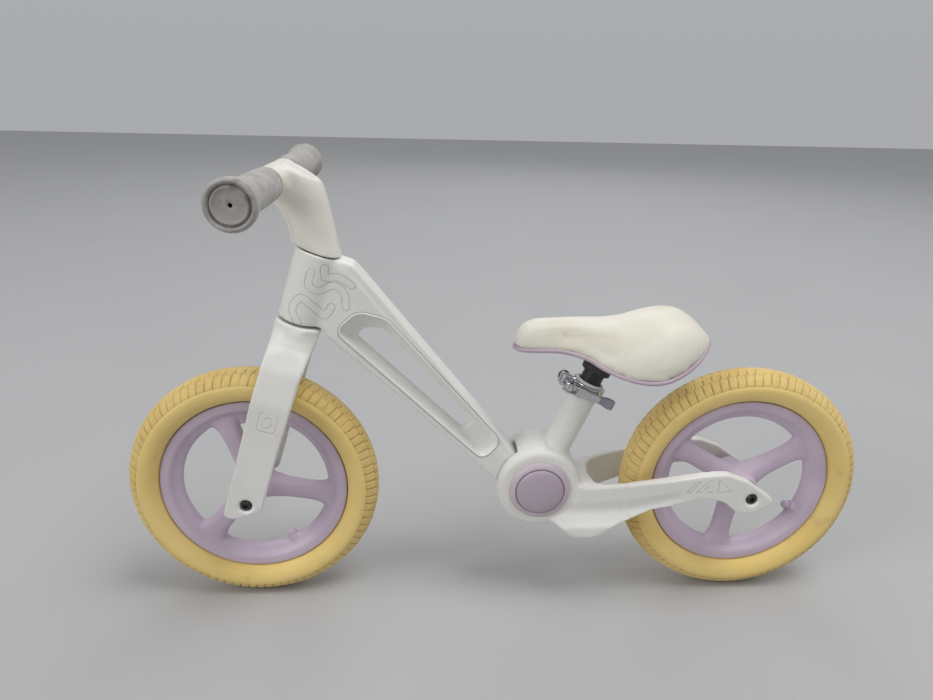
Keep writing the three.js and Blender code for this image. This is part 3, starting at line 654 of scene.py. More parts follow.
def stem():
    """The T-piece: a column of rounded sections that flows into the two arms of the bar clamp."""
    front = [
        (422, -229), (432, -231), (440, -236.5), (452, -238.5), (462, -241), (471, -245.5),
        (480, -252), (490, -260), (507, -264), (514, -261.5), (519, -256), (522, -248),
    ]
    rear = [
        (422, -184), (440, -187.5), (459, -191), (471, -193.5),
        (484, -196), (495, -199), (503, -202), (507, -206),
    ]
    wide = [(422, 25.3), (435, 24.0), (450, 22.6), (470, 22.2), (484, 24.2), (495, 26), (507, 26)]
    layers = []
    for z in np.linspace(414, 524, 56):
        low, high = (np.interp(z, *np.array(edge).T) for edge in (front, rear))
        half = np.interp(z, *np.array(wide).T)
        ring = []
        for a in turns(64):
            c, d = math.cos(a), math.sin(a)
            full = 0.82 if c > 0 else 1.0
            ring.append((
                (low + high) / 2 + (high - low) / 2 * signed_power(c, full),
                half * (1 - 0.22 * max(0, -c)) * signed_power(d, full),
            ))
        layers.append((z, ring))
    body = lofted("stem_casting", layers, "z")
    joined(body, disc("arm", 16.3, -49.9, 49.9, 96, (BAR_X, 0, BAR_Z)))
    roof = [(-300, 400), (-300, 523), (-240, 523), (-233, 520.5), (-201, 503.5), (-150, 476.5), (-150, 400)]
    common(body, prism("roof", roof, -60, 60))
    cut(body, to_steering(disc("below", 60, 240, HEAD_TOP + 1, 64, axis="z")))
    cast(body, rounds=6)
    p = points_of(body)
    root = falloff(np.abs(np.abs(p[:, 1]) - 27), 8, 21) * falloff(500 - p[:, 2], 22, 40)
    top = falloff(506 - p[:, 2], 0, 6)
    soften(body, root * (1 - 0.75 * top), 160)
    cut(
        body,
        to_steering(disc("bore", STEERER_RADIUS + 0.3, 290, 312, axis="z")),
        disc("bar_bore", 11.3, -80, 80, 64, (BAR_X, 0, BAR_Z)),
    )
    p = points_of(body)
    mould = np.abs(np.abs(p[:, 1]) - 11 - 0.05 * (p[:, 2] - 430))
    attribute(body, "mould_line", np.where((p[:, 2] < 478) & (p[:, 0] < -205), mould, 99))
    on_top = (p[:, 2] > 502) * (p[:, 0] > -236) * (p[:, 0] < -208)
    attribute(body, "patch", falloff(np.abs(p[:, 1]), 8, 9) * on_top)
    return soft_edged(body, 60)


def grip(side):
    outer = [
        (15.9, 50.3), (16.6, 50.9), (16.9, 52.0), (16.5, 52.8), (16.5, 53.3), (17.0, 54.0), (17.1, 56.4),
        (16.7, 57.1), (16.7, 57.6), (17.2, 58.4), (17.5, 75), (17.5, 110), (17.2, 150), (17.0, 166),
        (17.1, 170.5), (16.8, 171.2), (17.4, 172.2), (18.4, 175), (20.3, 178.5), (21.7, 180.6),
        (22.2, 181.7), (21.9, 182.4), (22.0, 182.9), (22.5, 183.6), (22.6, 185.5), (22.6, 188.4),
        (22.2, 190.4), (21.4, 191.9), (20.4, 192.8), (19.6, BAR_END), (18.8, 192.6), (18.1, 191.4),
        (17.5, 189.9), (16.8, 189.4), (16.2, 189.8), (15.7, 191.2), (14.9, 191.9), (13.9, 191.6),
        (13.1, 190.7), (12, 190.2), (6, 190.0), (2.6, 190.0), (2.0, 189.4), (2.0, 186.5),
    ]
    inner = [(11.3, 186.5), (11.3, 50.3)]
    name = "grip_" + ("left" if side < 0 else "right") + "_rubber"
    body = turned(name, [(r, side * h) for r, h in outer + inner], 128, (BAR_X, 0, BAR_Z))
    soft_edged(body)
    p = points_of(body)
    radius = np.hypot(p[:, 0] - BAR_X, p[:, 2] - BAR_Z)
    out = np.abs(p[:, 1])
    # Painted shade: the groove round the end's recessed disc and the ring grooves at 53, 57.3 and 182.5 mm
    # are darkened in colour; the whole end face is also made a little darker.
    groove_shade = 0.7 * falloff(np.abs(radius - 16.9), 0.5, 1.6) * (out > 188)
    rings = (np.abs(out - 53.0) < 0.4) | (np.abs(out - 57.3) < 0.4) | (np.abs(out - 182.5) < 0.5)
    attribute(body, "groove_shade", np.maximum(np.maximum(groove_shade, 0.8 * rings), 0.28 * (out > 189.6)))
    return body


def soft_edged(obj, angle=50):
    """Smooth shading that keeps edges sharper than the angle."""
    obj.data.shade_smooth()
    obj.data.set_sharp_from_angle(angle=math.radians(angle))
    return obj


# ---------- fold hub ----------

def hub_ring():
    profile = [
        (28.9, -33.4), (28.9, -37.0), (29.3, -37.8), (30.2, -38.1), (33.0, -36.9), (35.4, -35.2),
        (36.2, -34.2), (36.2, -33.4),
    ]
    return soft_edged(turned("fold_hub_ring", profile, 128, HUB_PLACE))


def fold_button():
    profile = [
        (0.01, -31.0), (28.2, -31.0), (28.2, -37.9), (27.6, -39.2), (26.2, -40.3), (22, -41.4),
        (17, -42.2), (12, -42.6), (6, -42.9), (0.01, -43.0),
    ]
    return soft_edged(turned("fold_button_cap", profile, 128, HUB_PLACE))


def hub_cover():
    profile = [
        (0.01, 33.4), (36.5, 33.4), (36.5, 36.2), (35.6, 37.2),
        (33, 38.0), (24, 38.8), (10, 39.2), (0.01, 39.3),
    ]
    return soft_edged(turned("hub_cover_far", profile, 128, HUB_PLACE))


# ---------- wheels ----------
TYRE_SECTION = spline([
    (11.6, 110.9), (14.6, 111.6), (18.2, 114.2), (21.8, 118.8), (23.7, 124.2), (23.8, 129.0),
    (22.6, 133.6), (20.6, 137.0), (17.6, 140.4), (13.6, 143.3), (9.0, 145.6), (4.5, 146.8), (0.0, 147.0),
], 46)
TREAD_PITCHES = 86
TREAD_STEPS = 14
TYRE_MIDDLE = 121.0


def groove(distance, half, depth):
    """How deep a groove of a half-width is, at a distance from its middle."""
    return depth * falloff(np.abs(distance), half * 0.45, half)


def tyre(name, x):
    """The tyre's outer skin down to the rim, with the tread cut into its shoulders and crown."""
    half = list(TYRE_SECTION)
    section = half + [(-h, r) for h, r in reversed(half[:-1])]
    inside = [(-9.5, 108.5), (-7.0, 112.5), (7.0, 112.5), (9.5, 108.5)]
    outside = np.arange(len(section) + len(inside)) < len(section)
    section += inside
    height, radius = np.array(section).T
    columns = TREAD_PITCHES * TREAD_STEPS
    turn = (np.arange(columns) / columns)[:, None]
    phase = turn * TREAD_PITCHES
    across = np.abs(height)
    pitch = 2 * math.pi * TYRE_RADIUS / TREAD_PITCHES
    side = np.where(height < 0, 0.0, 0.3)
    jog = across - 11.5 - 0.8 * np.sin((phase + side) * 2 * math.pi)
    step = np.where(jog > 0, 0.0, 0.22)
    main = (phase + side + step + 0.02 * (21 - across) + 0.5) % 1 - 0.5
    deep = groove(main * pitch, 1.05, 1.2) * falloff(-across, -3.6, -2.6)
    deep = np.maximum(deep, groove(jog, 0.9, 0.9) * (np.abs(main) < 0.32))
    sipe = (phase + side + 0.045 * (21 - across)) % 1 - 0.5
    deep = np.maximum(deep, groove(sipe * pitch, 0.8, 0.45) * falloff(np.abs(across - 8), 3, 4))
    edge_line = groove(radius - 133.8, 0.8, 0.55) * (across > 15)
    deep = np.maximum(deep * falloff(-radius, -133.6, -132.6), edge_line)
    ribs = groove(radius - 130.9, 0.8, -0.5) + groove(radius - 128.4, 0.8, -0.4)
    deep = np.where(outside, deep + np.where(across > 20, ribs, 0), 0)
    out_r = radius - TYRE_MIDDLE
    size = np.maximum(np.hypot(out_r, height), 1)
    radius = radius - deep * out_r / size
    height = height - deep * height / size
    angle = turn * 2 * math.pi
    verts = np.stack([x + radius * np.cos(angle), height, AXLE_Z + radius * np.sin(angle)], -1)
    verts[..., 2] = np.clip(verts[..., 2], 0.0, AXLE_Z + TYRE_RADIUS)
    obj = closed_mesh(name, verts.reshape(-1, 3), grid_faces(columns, len(section), True))
    # Groove depth, for colour: the material darkens the grooves with it, partly as grime and partly as
    # painted shade.
    attribute(obj, "grime", np.clip(deep, 0, 1.2).ravel() / 1.2)
    attribute(obj, "tread", (falloff(-radius, -134, -132) * outside).ravel())
    return smooth_shaded(obj)


def spoke(angle, axle):
    """A thick rounded spoke, flared into the hub and into the rim."""
    power = 2 / 2.7
    layers = []
    for r in np.linspace(6, 91, 30):
        wide = np.interp(r, [6, 20, 34, 60, 74, 84, 91], [17, 14.5, 12, 11.6, 12.4, 16.5, 23])
        thick = np.interp(r, [6, 22, 44, 70, 91], [17, 14, 9.6, 8.8, 8.2])
        layers.append((r, [
            (wide * signed_power(math.cos(a), power), thick * signed_power(math.sin(a), power))
            for a in turns(48)
        ]))
    return pointed(lofted("spoke", layers, "z"), angle, axle)


def rim(name, x, spoke_angles, valve_angle, bump_angle=None):
    place = (x, 0, AXLE_Z)
    half = [
        (110, 10.6), (110, 12.4), (109.3, 13.3), (108, 13.6), (100.5, 13.6), (98.8, 13.1),
        (97.2, 11.6), (95.2, 9.2), (92.8, 7.4), (90.2, 6.2), (87.6, 5.0), (86.2, 2.6),
    ]
    profile = half + [(r, -h) for r, h in reversed(half)] + [(101, -8.5), (101, 8.5)]
    body = turned(name, profile, 192, place)
    boss = turned("boss", [
        (0.01, -30), (15, -30), (16, -29), (17.2, -24), (18.6, -14), (20, 0), (18.6, 14), (17.2, 24),
        (16, 29), (15, 30), (0.01, 30),
    ], 96, place)
    lugs = [rod("lug", 7.4, 83, 92, valve_angle, place)]
    if bump_angle is not None:
        lugs.append(rod("lug", 4.6, 78, 92, bump_angle, place))
    joined(body, boss, *[spoke(a, place) for a in spoke_angles], *lugs)
    cut(
        body,
        disc("bore", 7, -40, 40, 48, place),
        disc("seat", 11.3, 22.7, 40, 64, place),
        disc("seat", 11.3, -40, -22.7, 64, place),
        rod("valve_hole", 5.5, 60, 85.8, valve_angle, place),
    )
    cast(body, 1.15, 7)
    p = points_of(body)
    flat = np.hypot(p[:, 0] - x, p[:, 2] - AXLE_Z)
    roots = np.maximum(falloff(np.abs(flat - 84), 4, 9), falloff(np.abs(flat - 20), 3, 9))
    near_spoke = np.zeros(len(p))
    turn = np.degrees(np.arctan2(p[:, 2] - AXLE_Z, p[:, 0] - x))
    for a in spoke_angles:
        away = np.abs((turn - a + 180) % 360 - 180)
        near_spoke = np.maximum(near_spoke, falloff(away * flat / 57.3, 22, 32))
    soften(body, roots * near_spoke * (np.abs(p[:, 1]) < 26), 30)
    return body


def rod(name, radius, low, high, angle, place):
    """A rod that points out from the wheel's centre at an angle."""
    return pointed(prism(name, circle(radius, 48), low, high, "z"), angle, place)


def valve_cap(name, x, angle):
    profile = [
        (0.01, 75.6), (2.4, 75.7), (4.0, 76.3), (4.9, 77.5), (5.2, 79), (5.2, 85.4), (3.4, 85.4),
        (3.4, 78.4), (0.01, 78.4),
    ]
    return soft_edged(pointed(turned(name, profile, 48, axis="z"), angle, (x, 0, AXLE_Z)))


def bolt(name, side, outer, place):
    """A button-headed socket bolt's head, with the shank behind it."""
    head = outer - 5
    profile = [
        (0.01, head + 1.0), (2.9, head + 1.0), (2.9, head + 3.4), (3.4, head + 3.8), (5.4, head + 3.5),
        (6.3, head + 2.6), (6.6, head + 1.4), (6.6, head), (3, head), (3, head - 24), (0.01, head - 24),
    ]
    body = turned(name, [(r, side * h) for r, h in profile], 64)
    cut(body, disc("key", 3.3, *sorted((side * (head + 1.0), side * (head + 4))), 6))
    return soft_edged(moved(body, place), 35)


def spacer(name, side, inner, place):
    profile = [(5.3, 30.3), (7.6, 30.3), (8, 30.7), (8, inner - 0.7), (7.6, inner - 0.3), (5.3, inner - 0.3)]
    return soft_edged(turned(name, [(r, side * h) for r, h in profile], 48, place), 35)


# ---------- seat clamp ----------
CLAMP_MIDDLE = 127.5
CLAMP_REACH = 27.0


def clamp_collar():
    band = [(17.5, 120.0), (20.2, 120.0), (21, 120.8), (21, 134.2), (20.2, 135.0), (17.5, 135.0)]
    body = turned("clamp_band", band, 96, axis="z")
    ears = plate("ears", rounded([(-34, -9, 3), (-14, -9, 1), (-14, 9, 1), (-34, 9, 3)]), 6.5, 1.0, "z")
    moved(ears, (0, 0, CLAMP_MIDDLE))
    cut(ears, disc("inside", 19, 100, 150, 96, axis="z"))
    joined(body, ears)
    cut(
        body,
        prism("split", [(-45, -1.5), (-12, -1.5), (-12, 1.5), (-45, 1.5)], 105, 145, "z"),
        disc("hole", 3.3, -30, 30, 48, (-CLAMP_REACH, 0, CLAMP_MIDDLE)),
    )
    cast(body, 0.55, 4)
    return to_mast(body)


def clamp_lever():
    outline = rounded([
        (-7.5, -17.8, 6), (7, -18.2, 5), (14, -22, 12), (48, -22, 12), (56, -24, 3.4), (56, -31, 3.4),
        (44, -28, 12), (8, -28.5, 12), (-7.5, -30, 6),
    ])
    body = plate("quick_release_lever", outline, 6, 1.2, "z")
    height = rounded([
        (-12, -8), (-12, 8), (0, 8), (14, 6, 8), (30, 4.2, 20), (42, 4.4, 6), (47, 5.9, 4), (57.5, 5.9, 5.8),
        (57.5, -5.9, 5.8), (47, -5.9, 4), (42, -4.4, 6), (30, -4.2, 20), (14, -6, 8), (0, -8),
    ])
    common(body, prism("height", height, -40, 0))
    cut(
        body,
        shifted(disc("pin", 2.8, -10, 10, 48, axis="z"), -23.5),
        shifted(disc("fork", 10, -3.5, 3.5, 64, axis="z"), -23.5),
    )
    cast(body, 0.55, 4)
    p = points_of(body)
    attribute(body, "tip", falloff(-p[:, 0], -38, -37))
    moved(body, (-CLAMP_REACH, 0, CLAMP_MIDDLE))
    return to_mast(body)


def shifted(obj, y):
    obj.data.transform(Matrix.Translation(Vector((0, y, 0)) * MM))
    return obj


def clamp_nut():
    profile = [(3.3, 9.3), (6.4, 9.3), (7.2, 10.0), (7.2, 13.8), (6.6, 15.0), (4.4, 15.4), (3.3, 15.4)]
    body = turned("clamp_end_nut", profile, 64)
    moved(body, (-CLAMP_REACH, 0, CLAMP_MIDDLE))
    return soft_edged(to_mast(body), 35)


def seat_post():
    profile = [(10.7, 57), (12.2, 57), (12.7, 57.6), (12.7, 175), (0.01, 175), (0.01, 172), (10.7, 172)]
    return soft_edged(to_mast(turned("saddle_post", profile, 96, axis="z")), 35)


# ---------- saddle ----------
SADDLE_WIDTH = spline([
    (0, 0), (0.004, 7), (0.014, 12.5), (0.035, 17), (0.07, 20.5), (0.14, 23.5), (0.25, 27), (0.4, 38),
    (0.55, 54), (0.68, 62), (0.78, 60), (0.87, 54), (0.935, 44.5), (0.975, 31.5), (0.994, 16), (1, 0),
], 300)
SADDLE_TOP = spline([
    (0, 331), (0.012, 340.5), (0.045, 350), (0.1, 354), (0.23, 353), (0.45, 350.8), (0.56, 352.8),
    (0.64, 358), (0.72, 363.6), (0.79, 366.6), (0.855, 365.6), (0.91, 359.5), (0.955, 350.5),
    (0.985, 343.5), (1, 340.2),
], 300)
SADDLE_EDGE = spline([
    (0, 322.6), (0.063, 323.8), (0.215, 325.1), (0.35, 319.8), (0.43, 311), (0.52, 304), (0.626, 300.4),
    (0.736, 302.5), (0.82, 310), (0.895, 321), (0.945, 331), (0.982, 337.6), (1, 339),
], 300)


def along_curve(curve, t):
    return np.interp(t, *np.array(curve).T)


def saddle_part(x):
    """How far back along the saddle x is: 0 at its front and 1 at its rear."""
    return (x - SADDLE_FRONT) / (SADDLE_REAR - SADDLE_FRONT)


def saddle_edge_at(x):
    return along_curve(SADDLE_EDGE, saddle_part(x))


def saddle_skin(name, inset_by):
    """The cushion's closed form: a crowned top, full sides, and a flat underside just above its edge."""
    length = SADDLE_REAR - SADDLE_FRONT - 2 * inset_by
    layers = []
    for t in np.clip((1 - np.cos(np.linspace(0, math.pi, 72))) / 2, 0.0008, 0.9992):
        width = max(along_curve(SADDLE_WIDTH, t) - inset_by, 0.5)
        edge = along_curve(SADDLE_EDGE, t)
        crown = max(along_curve(SADDLE_TOP, t) - inset_by, edge + 0.6)
        ring = []
        for a in turns(40):
            side, up = math.cos(a), math.sin(a)
            if up >= 0:
                z = edge + (crown - edge) * up ** 0.86
            else:
                z = edge - 3.2 * min(1, width / 12) * abs(up) ** 0.5
            ring.append((width * signed_power(side, 0.72), z))
        layers.append((SADDLE_FRONT + inset_by + t * length, ring))
    return lofted(name, layers, "x")


def saddle_cushion():
    """The padded top: its form is remeshed, blown up slightly as cloth, and smoothed."""
    body = saddle_skin("saddle_pad", 2.6)
    remesh = body.modifiers.new("remesh", "REMESH")
    remesh.mode = "VOXEL"
    remesh.voxel_size = 4.5 * MM
    settle(body)
    start = points_of(body)
    start = inflated(body, start)
    set_points(body, start)
    normals = np.array([v.normal for v in body.data.vertices])
    top = normals[:, 2] > -0.3
    set_points(body, start + normals * (2.2 * top)[:, None])
    fine = body.modifiers.new("fine", "SUBSURF")
    fine.levels = 2
    settle(body)
    keep_in_form(body)
    return smooth_shaded(body)


def inflated(body, start):
    """The pad's points after twenty frames of cloth under a little pressure, each held near its start."""
    cloth = body.modifiers.new("cloth", "CLOTH")
    cloth.settings.use_pressure = True
    cloth.settings.uniform_pressure_force = 4.0
    cloth.settings.quality = 5
    cloth.settings.effector_weights.gravity = 0
    scene = bpy.context.scene
    for number in range(1, 21):
        scene.frame_set(number)
    settle(body)
    scene.frame_set(1)
    swollen = points_of(body)
    step = swollen - start
    far = np.maximum(np.linalg.norm(step, axis=1, keepdims=True), 1e-6)
    above_rim = start[:, 2:] - saddle_edge_at(start[:, :1])
    return start + step * np.minimum(1, 4.0 / far) * np.clip((above_rim - 2) / 12, 0, 1)


def keep_in_form(body):
    """Keeps the pad within its length, width and height, its edge above the base, and wrinkles its rear."""
    p = points_of(body)
    edge = saddle_edge_at(p[:, 0])
    at_rear = falloff(np.abs(saddle_part(p[:, 0]) - 0.86), 0.03, 0.1)
    p[:, 0] = np.clip(p[:, 0], SADDLE_FRONT - 0.5, SADDLE_REAR + 0.5)
    p[:, 1] = np.clip(p[:, 1], -62.8, 62.8)
    p[:, 2] = np.maximum(p[:, 2], edge - 3.5)
    wrinkles = 0.5 * np.sin(p[:, 0] * 0.9 + 4 * np.sin(p[:, 1] * 0.06)) * at_rear
    p[:, 2] += wrinkles * falloff(np.abs(p[:, 2] - edge - 12), 6, 14)
    set_points(body, p)
    attribute(body, "above_edge", p[:, 2] - edge)


def saddle_piping():
    """A round cord once round the saddle's lower edge, tucked a little inside and below it."""
    out, drop = -2.2, 1.5
    turn = np.linspace(0, 2 * math.pi, 220, endpoint=False)
    t = (1 - np.cos(turn)) / 2
    side = np.where(turn < math.pi, -1.0, 1.0)
    x = SADDLE_FRONT - out + t * (SADDLE_REAR - SADDLE_FRONT + 2 * out)
    y = side * (along_curve(SADDLE_WIDTH, t) + out)
    return tube_along("saddle_piping", np.stack([x, y, along_curve(SADDLE_EDGE, t) - drop], -1), 2.6, 14)


def saddle_base():
    """The moulded pan: a shallow rim under the pad and a socket for the post."""
    body = saddle_skin("saddle_pan", 3.4)
    p = points_of(body)
    edge = saddle_edge_at(p[:, 0])
    p[:, 2] = np.where(p[:, 2] > edge, edge - 0.6 + 0.02 * (p[:, 2] - edge), edge - 3.4)
    set_points(body, p)
    profile = [(0.01, 150), (16.4, 150), (17.4, 151), (18.5, 166), (26, 176), (26, 184), (0.01, 184)]
    joined(body, to_mast(turned("socket", profile, 96, axis="z")))
    cut(body, to_mast(disc("post_hole", POST_RADIUS + 0.3, 130, 176, axis="z")))
    cast(body, 1.3, 6)
    p = points_of(body)
    below = np.clip((saddle_edge_at(p[:, 0]) - 6 - p[:, 2]) / 1.5, 0, 1)
    attribute(body, "socket", below * falloff(np.abs(p[:, 1]), 27, 28) * (p[:, 0] < 150))
    return body


# ---------- materials ----------
class Look:
    """A node material under construction: one Principled shader, fed from textures."""

    def __init__(self, name, rough, metal=0.0, **inputs):
        self.material = bpy.data.materials.new(name)
        self.material.use_nodes = True
        self.tree = self.material.node_tree
        self.shader = self.tree.nodes["Principled BSDF"]
        self.shader.inputs["Metallic"].default_value = metal
        self.shader.inputs["Roughness"].default_value = rough
        for key, value in inputs.items():
            self.shader.inputs[key.replace("_", " ")].default_value = value
        self.place = self.node("ShaderNodeTexCoord").outputs["Object"]

    def node(self, kind, **settings):
        made = self.tree.nodes.new(kind)
        for key, value in settings.items():
            setattr(made, key, value)
        return made

    def link(self, source, target):
        self.tree.links.new(source, target)

    def noise(self, size, detail, stretch=None):
        """Noise whose features are about size millimetres across."""
        made = self.node("ShaderNodeTexNoise")
        made.inputs["Scale"].default_value = 1 / (size * MM)
        made.inputs["Detail"].default_value = detail
        place = self.place
        if stretch:
            mapping = self.node("ShaderNodeMapping")
            mapping.inputs["Scale"].default_value = stretch
            self.link(place, mapping.inputs["Vector"])
            place = mapping.outputs["Vector"]
        self.link(place, made.inputs["Vector"])
        return made.outputs["Fac"]

    def cells(self, size):
        made = self.node("ShaderNodeTexVoronoi", feature="DISTANCE_TO_EDGE")
        made.inputs["Scale"].default_value = 1 / (size * MM)
        self.link(self.place, made.inputs["Vector"])
        return made.outputs["Distance"]

    def stored(self, name):
        return self.node("ShaderNodeAttribute", attribute_name=name).outputs["Fac"]

    def span(self, source, low, high, to_low=0.0, to_high=1.0):
        """The source's range from low to high, made into another range."""
        made = self.node("ShaderNodeMapRange", interpolation_type="SMOOTHSTEP")
        for key, value in zip(("From Min", "From Max", "To Min", "To Max"), (low, high, to_low, to_high)):
            made.inputs[key].default_value = value
        self.link(source, made.inputs["Value"])
        return made.outputs["Result"]

    def patches(self, size, detail, *limits):
        """Noise with its range spanned."""
        return self.span(self.noise(size, detail), *limits)

    def times(self, a, b):
        made = self.node("ShaderNodeMath", operation="MULTIPLY")
        self.link(a, made.inputs[0])
        if isinstance(b, (int, float)):
            made.inputs[1].default_value = b
        else:
            self.link(b, made.inputs[1])
        return made.outputs[0]

    def mix(self, amount, a, b):
        """One colour, or colour socket, mixed into another."""
        made = self.node("ShaderNodeMix", data_type="RGBA")
        self.link(amount, made.inputs["Factor"])
        for key, value in ((6, a), (7, b)):
            if isinstance(value, tuple):
                made.inputs[key].default_value = (*value, 1)
            else:
                self.link(value, made.inputs[key])
        return made.outputs[2]

    def stained(self, paint, amount, stain, fine, broad):
        """The paint with a stain over it, in fine patches that keep to broad ones."""
        spots = self.times(self.patches(*fine), self.patches(*broad))
        return self.mix(self.times(spots, amount), paint, stain)

    def finished(self, colour, relief, roughness=None):
        """The material. Each layer of relief is a noise or a height, then its depth in millimetres."""
        self.link(colour, self.shader.inputs["Base Color"])
        if roughness:
            self.link(roughness, self.shader.inputs["Roughness"])
        normal = None
        for *height, depth in relief:
            bump = self.node("ShaderNodeBump")
            bump.inputs["Distance"].default_value = depth * MM
            bump.inputs["Strength"].default_value = 1.0
            self.link(self.noise(*height) if len(height) > 1 else height[0], bump.inputs["Height"])
            if normal:
                self.link(normal, bump.inputs["Normal"])
            normal = bump.outputs["Normal"]
        if normal:
            self.link(normal, self.shader.inputs["Normal"])
        return self.material


DUST = (0.50, 0.44, 0.36)
MOULDED_RELIEF = ((0.7, 2, 0.02), (16, 2, 0.08))
PAINT_RELIEF = ((0.9, 2, 0.012), (14, 3, 0.10))


def frame_paint():
    """Satin off-white with a faint mottle, a little dust, the thin drawn lines stored on the mesh, painted
    shade in the crease beside the slot's bead, and a painted highlight round each axle bolt.
    """
    look = Look("frame_off_white", 0.42, Specular_IOR_Level=0.45)
    paint = look.mix(look.patches(60, 4, 0.35, 0.7), (0.755, 0.745, 0.70), (0.79, 0.78, 0.745))
    paint = look.stained(paint, 0.35, DUST, (9, 6, 0.55, 0.78), (80, 2, 0.45, 0.65))
    drawn = look.span(look.stored("graphic"), 0.35, 0.75, 1.0, 0.0)
    drawn = look.times(drawn, look.patches(3, 2, 0.30, 0.42))
    paint = look.mix(look.times(drawn, 0.9), paint, (0.50, 0.42, 0.47))
    # Painted shade: a dark line in the shallow crease just outside the slot's bead, on the side faces, with a
    # bump for the crease itself.
    from_slot = look.stored("slot_line")
    crease = look.times(look.span(from_slot, 1.9, 2.3), look.span(from_slot, 2.7, 3.2, 1.0, 0.0))
    paint = look.mix(look.times(crease, 0.5), paint, (0.28, 0.27, 0.25))
    # Painted highlight: a near-white ring round each axle bolt's countersink, in place of the light its
    # chamfer catches.
    bolt_rim_highlight = look.span(look.stored("bolt_near"), 0.9, 1.5)
    paint = look.mix(look.times(bolt_rim_highlight, 0.75), paint, (0.90, 0.90, 0.89))
    relief = (*PAINT_RELIEF, (look.times(crease, -1.0), 0.45))
    return look.finished(paint, relief, look.patches(25, 5, 0.3, 0.75, 0.36, 0.52))


def stem_paint():
    """The frame's paint, yellower, with two mould lines and a faint lilac patch on top."""
    look = Look("stem_cream", 0.42, Specular_IOR_Level=0.45)
    paint = look.mix(look.patches(60, 4, 0.35, 0.7), (0.75, 0.725, 0.64), (0.785, 0.76, 0.685))
    paint = look.stained(paint, 0.35, DUST, (12, 5, 0.52, 0.75), (60, 2, 0.42, 0.6))
    paint = look.mix(look.times(look.stored("patch"), 0.35), paint, (0.62, 0.47, 0.55))
    mould = look.span(look.stored("mould_line"), 0.3, 0.9, 1.0, 0.0)
    paint = look.mix(look.times(mould, 0.35), paint, (0.45, 0.42, 0.38))
    return look.finished(paint, (*PAINT_RELIEF, (mould, 0.35)), look.patches(25, 5, 0.3, 0.75, 0.34, 0.50))


def moulded(name, base, other, rough=0.5):
    """Through-coloured moulded plastic: fine texture, soft mottling, and dusty patches."""
    look = Look(name, rough, Specular_IOR_Level=0.4)
    paint = look.mix(look.patches(45, 4, 0.3, 0.7), base, other)
    paint = look.stained(paint, 0.4, (0.52, 0.46, 0.44), (6, 6, 0.56, 0.8), (50, 2, 0.45, 0.7))
    return look.finished(paint, MOULDED_RELIEF, look.patches(20, 5, 0.3, 0.75, rough - 0.06, rough + 0.1))


def pan_plastic():
    """The pan's lilac plastic, with a black collar where the post goes in."""
    look = Look("pan_lilac_and_black", 0.5, Specular_IOR_Level=0.4)
    mottle = look.patches(45, 4, 0.3, 0.7)
    pan = look.mix(mottle, (0.43, 0.355, 0.42), (0.47, 0.395, 0.455))
    collar = look.mix(mottle, (0.022, 0.022, 0.024), (0.035, 0.035, 0.037))
    paint = look.mix(look.stored("socket"), pan, collar)
    return look.finished(paint, MOULDED_RELIEF, look.patches(20, 5, 0.3, 0.75, 0.44, 0.6))


def tyre_rubber():
    look = Look("tyre_ochre", 0.72, Specular_IOR_Level=0.35, Sheen_Weight=0.12, Sheen_Roughness=0.5)
    mottle = look.patches(70, 4, 0.3, 0.7)
    side = look.mix(mottle, (0.80, 0.585, 0.195), (0.84, 0.63, 0.24))
    tread = look.mix(mottle, (0.70, 0.495, 0.16), (0.77, 0.57, 0.215))
    base = look.mix(look.stored("tread"), side, tread)
    # Grooves darkened in patches by their depth: partly grime, partly painted shade in place of the shade
    # that falls in them.
    grime = look.times(look.stored("grime"), look.patches(12, 4, 0.3, 0.6))
    base = look.mix(look.times(grime, 0.75), base, (0.36, 0.22, 0.065))
    worn = look.times(look.stored("tread"), look.patches(5, 6, 0.5, 0.72))
    base = look.mix(look.times(worn, 0.35), base, (0.48, 0.35, 0.16))
    base = look.mix(look.times(look.patches(30, 5, 0.60, 0.78), 0.3), base, (0.42, 0.31, 0.16))
    return look.finished(base, ((1.1, 4, 0.05), (8, 3, 0.06)))


def grip_rubber():
    look = Look("grip_warm_grey", 0.7, Specular_IOR_Level=0.3, Sheen_Weight=0.15, Sheen_Roughness=0.6)
    base = look.mix(look.patches(18, 5, 0.3, 0.7), (0.36, 0.345, 0.325), (0.45, 0.43, 0.405))
    base = look.stained(base, 0.6, (0.22, 0.16, 0.12), (7, 6, 0.48, 0.68), (35, 2, 0.42, 0.62))
    # Painted shade in the grip's ring grooves and end groove, in patches, and a slightly darker end face.
    groove_shade = look.times(look.stored("groove_shade"), look.patches(14, 4, 0.3, 0.6, 0.45, 1.0))
    base = look.mix(look.times(groove_shade, 0.8), base, (0.12, 0.10, 0.09))
    return look.finished(base, ((0.6, 3, 0.05), (5, 4, 0.08)))


def vinyl():
    look = Look("saddle_vinyl", 0.46, Specular_IOR_Level=0.45, Sheen_Weight=0.08, Sheen_Roughness=0.4)
    base = look.mix(look.patches(40, 4, 0.3, 0.7), (0.71, 0.675, 0.565), (0.77, 0.74, 0.645))
    base = look.stained(base, 0.4, (0.50, 0.43, 0.33), (10, 6, 0.55, 0.75), (60, 2, 0.45, 0.65))
    edge = look.span(look.stored("above_edge"), -0.6, 0.8, 1.0, 0.0)
    base = look.mix(look.times(edge, 0.55), base, (0.46, 0.38, 0.38))
    relief = ((look.cells(1.6), 0.09), (0.8, 3, 0.03), (12, 3, 0.12))
    return look.finished(base, relief, look.patches(20, 4, 0.3, 0.75, 0.40, 0.56))


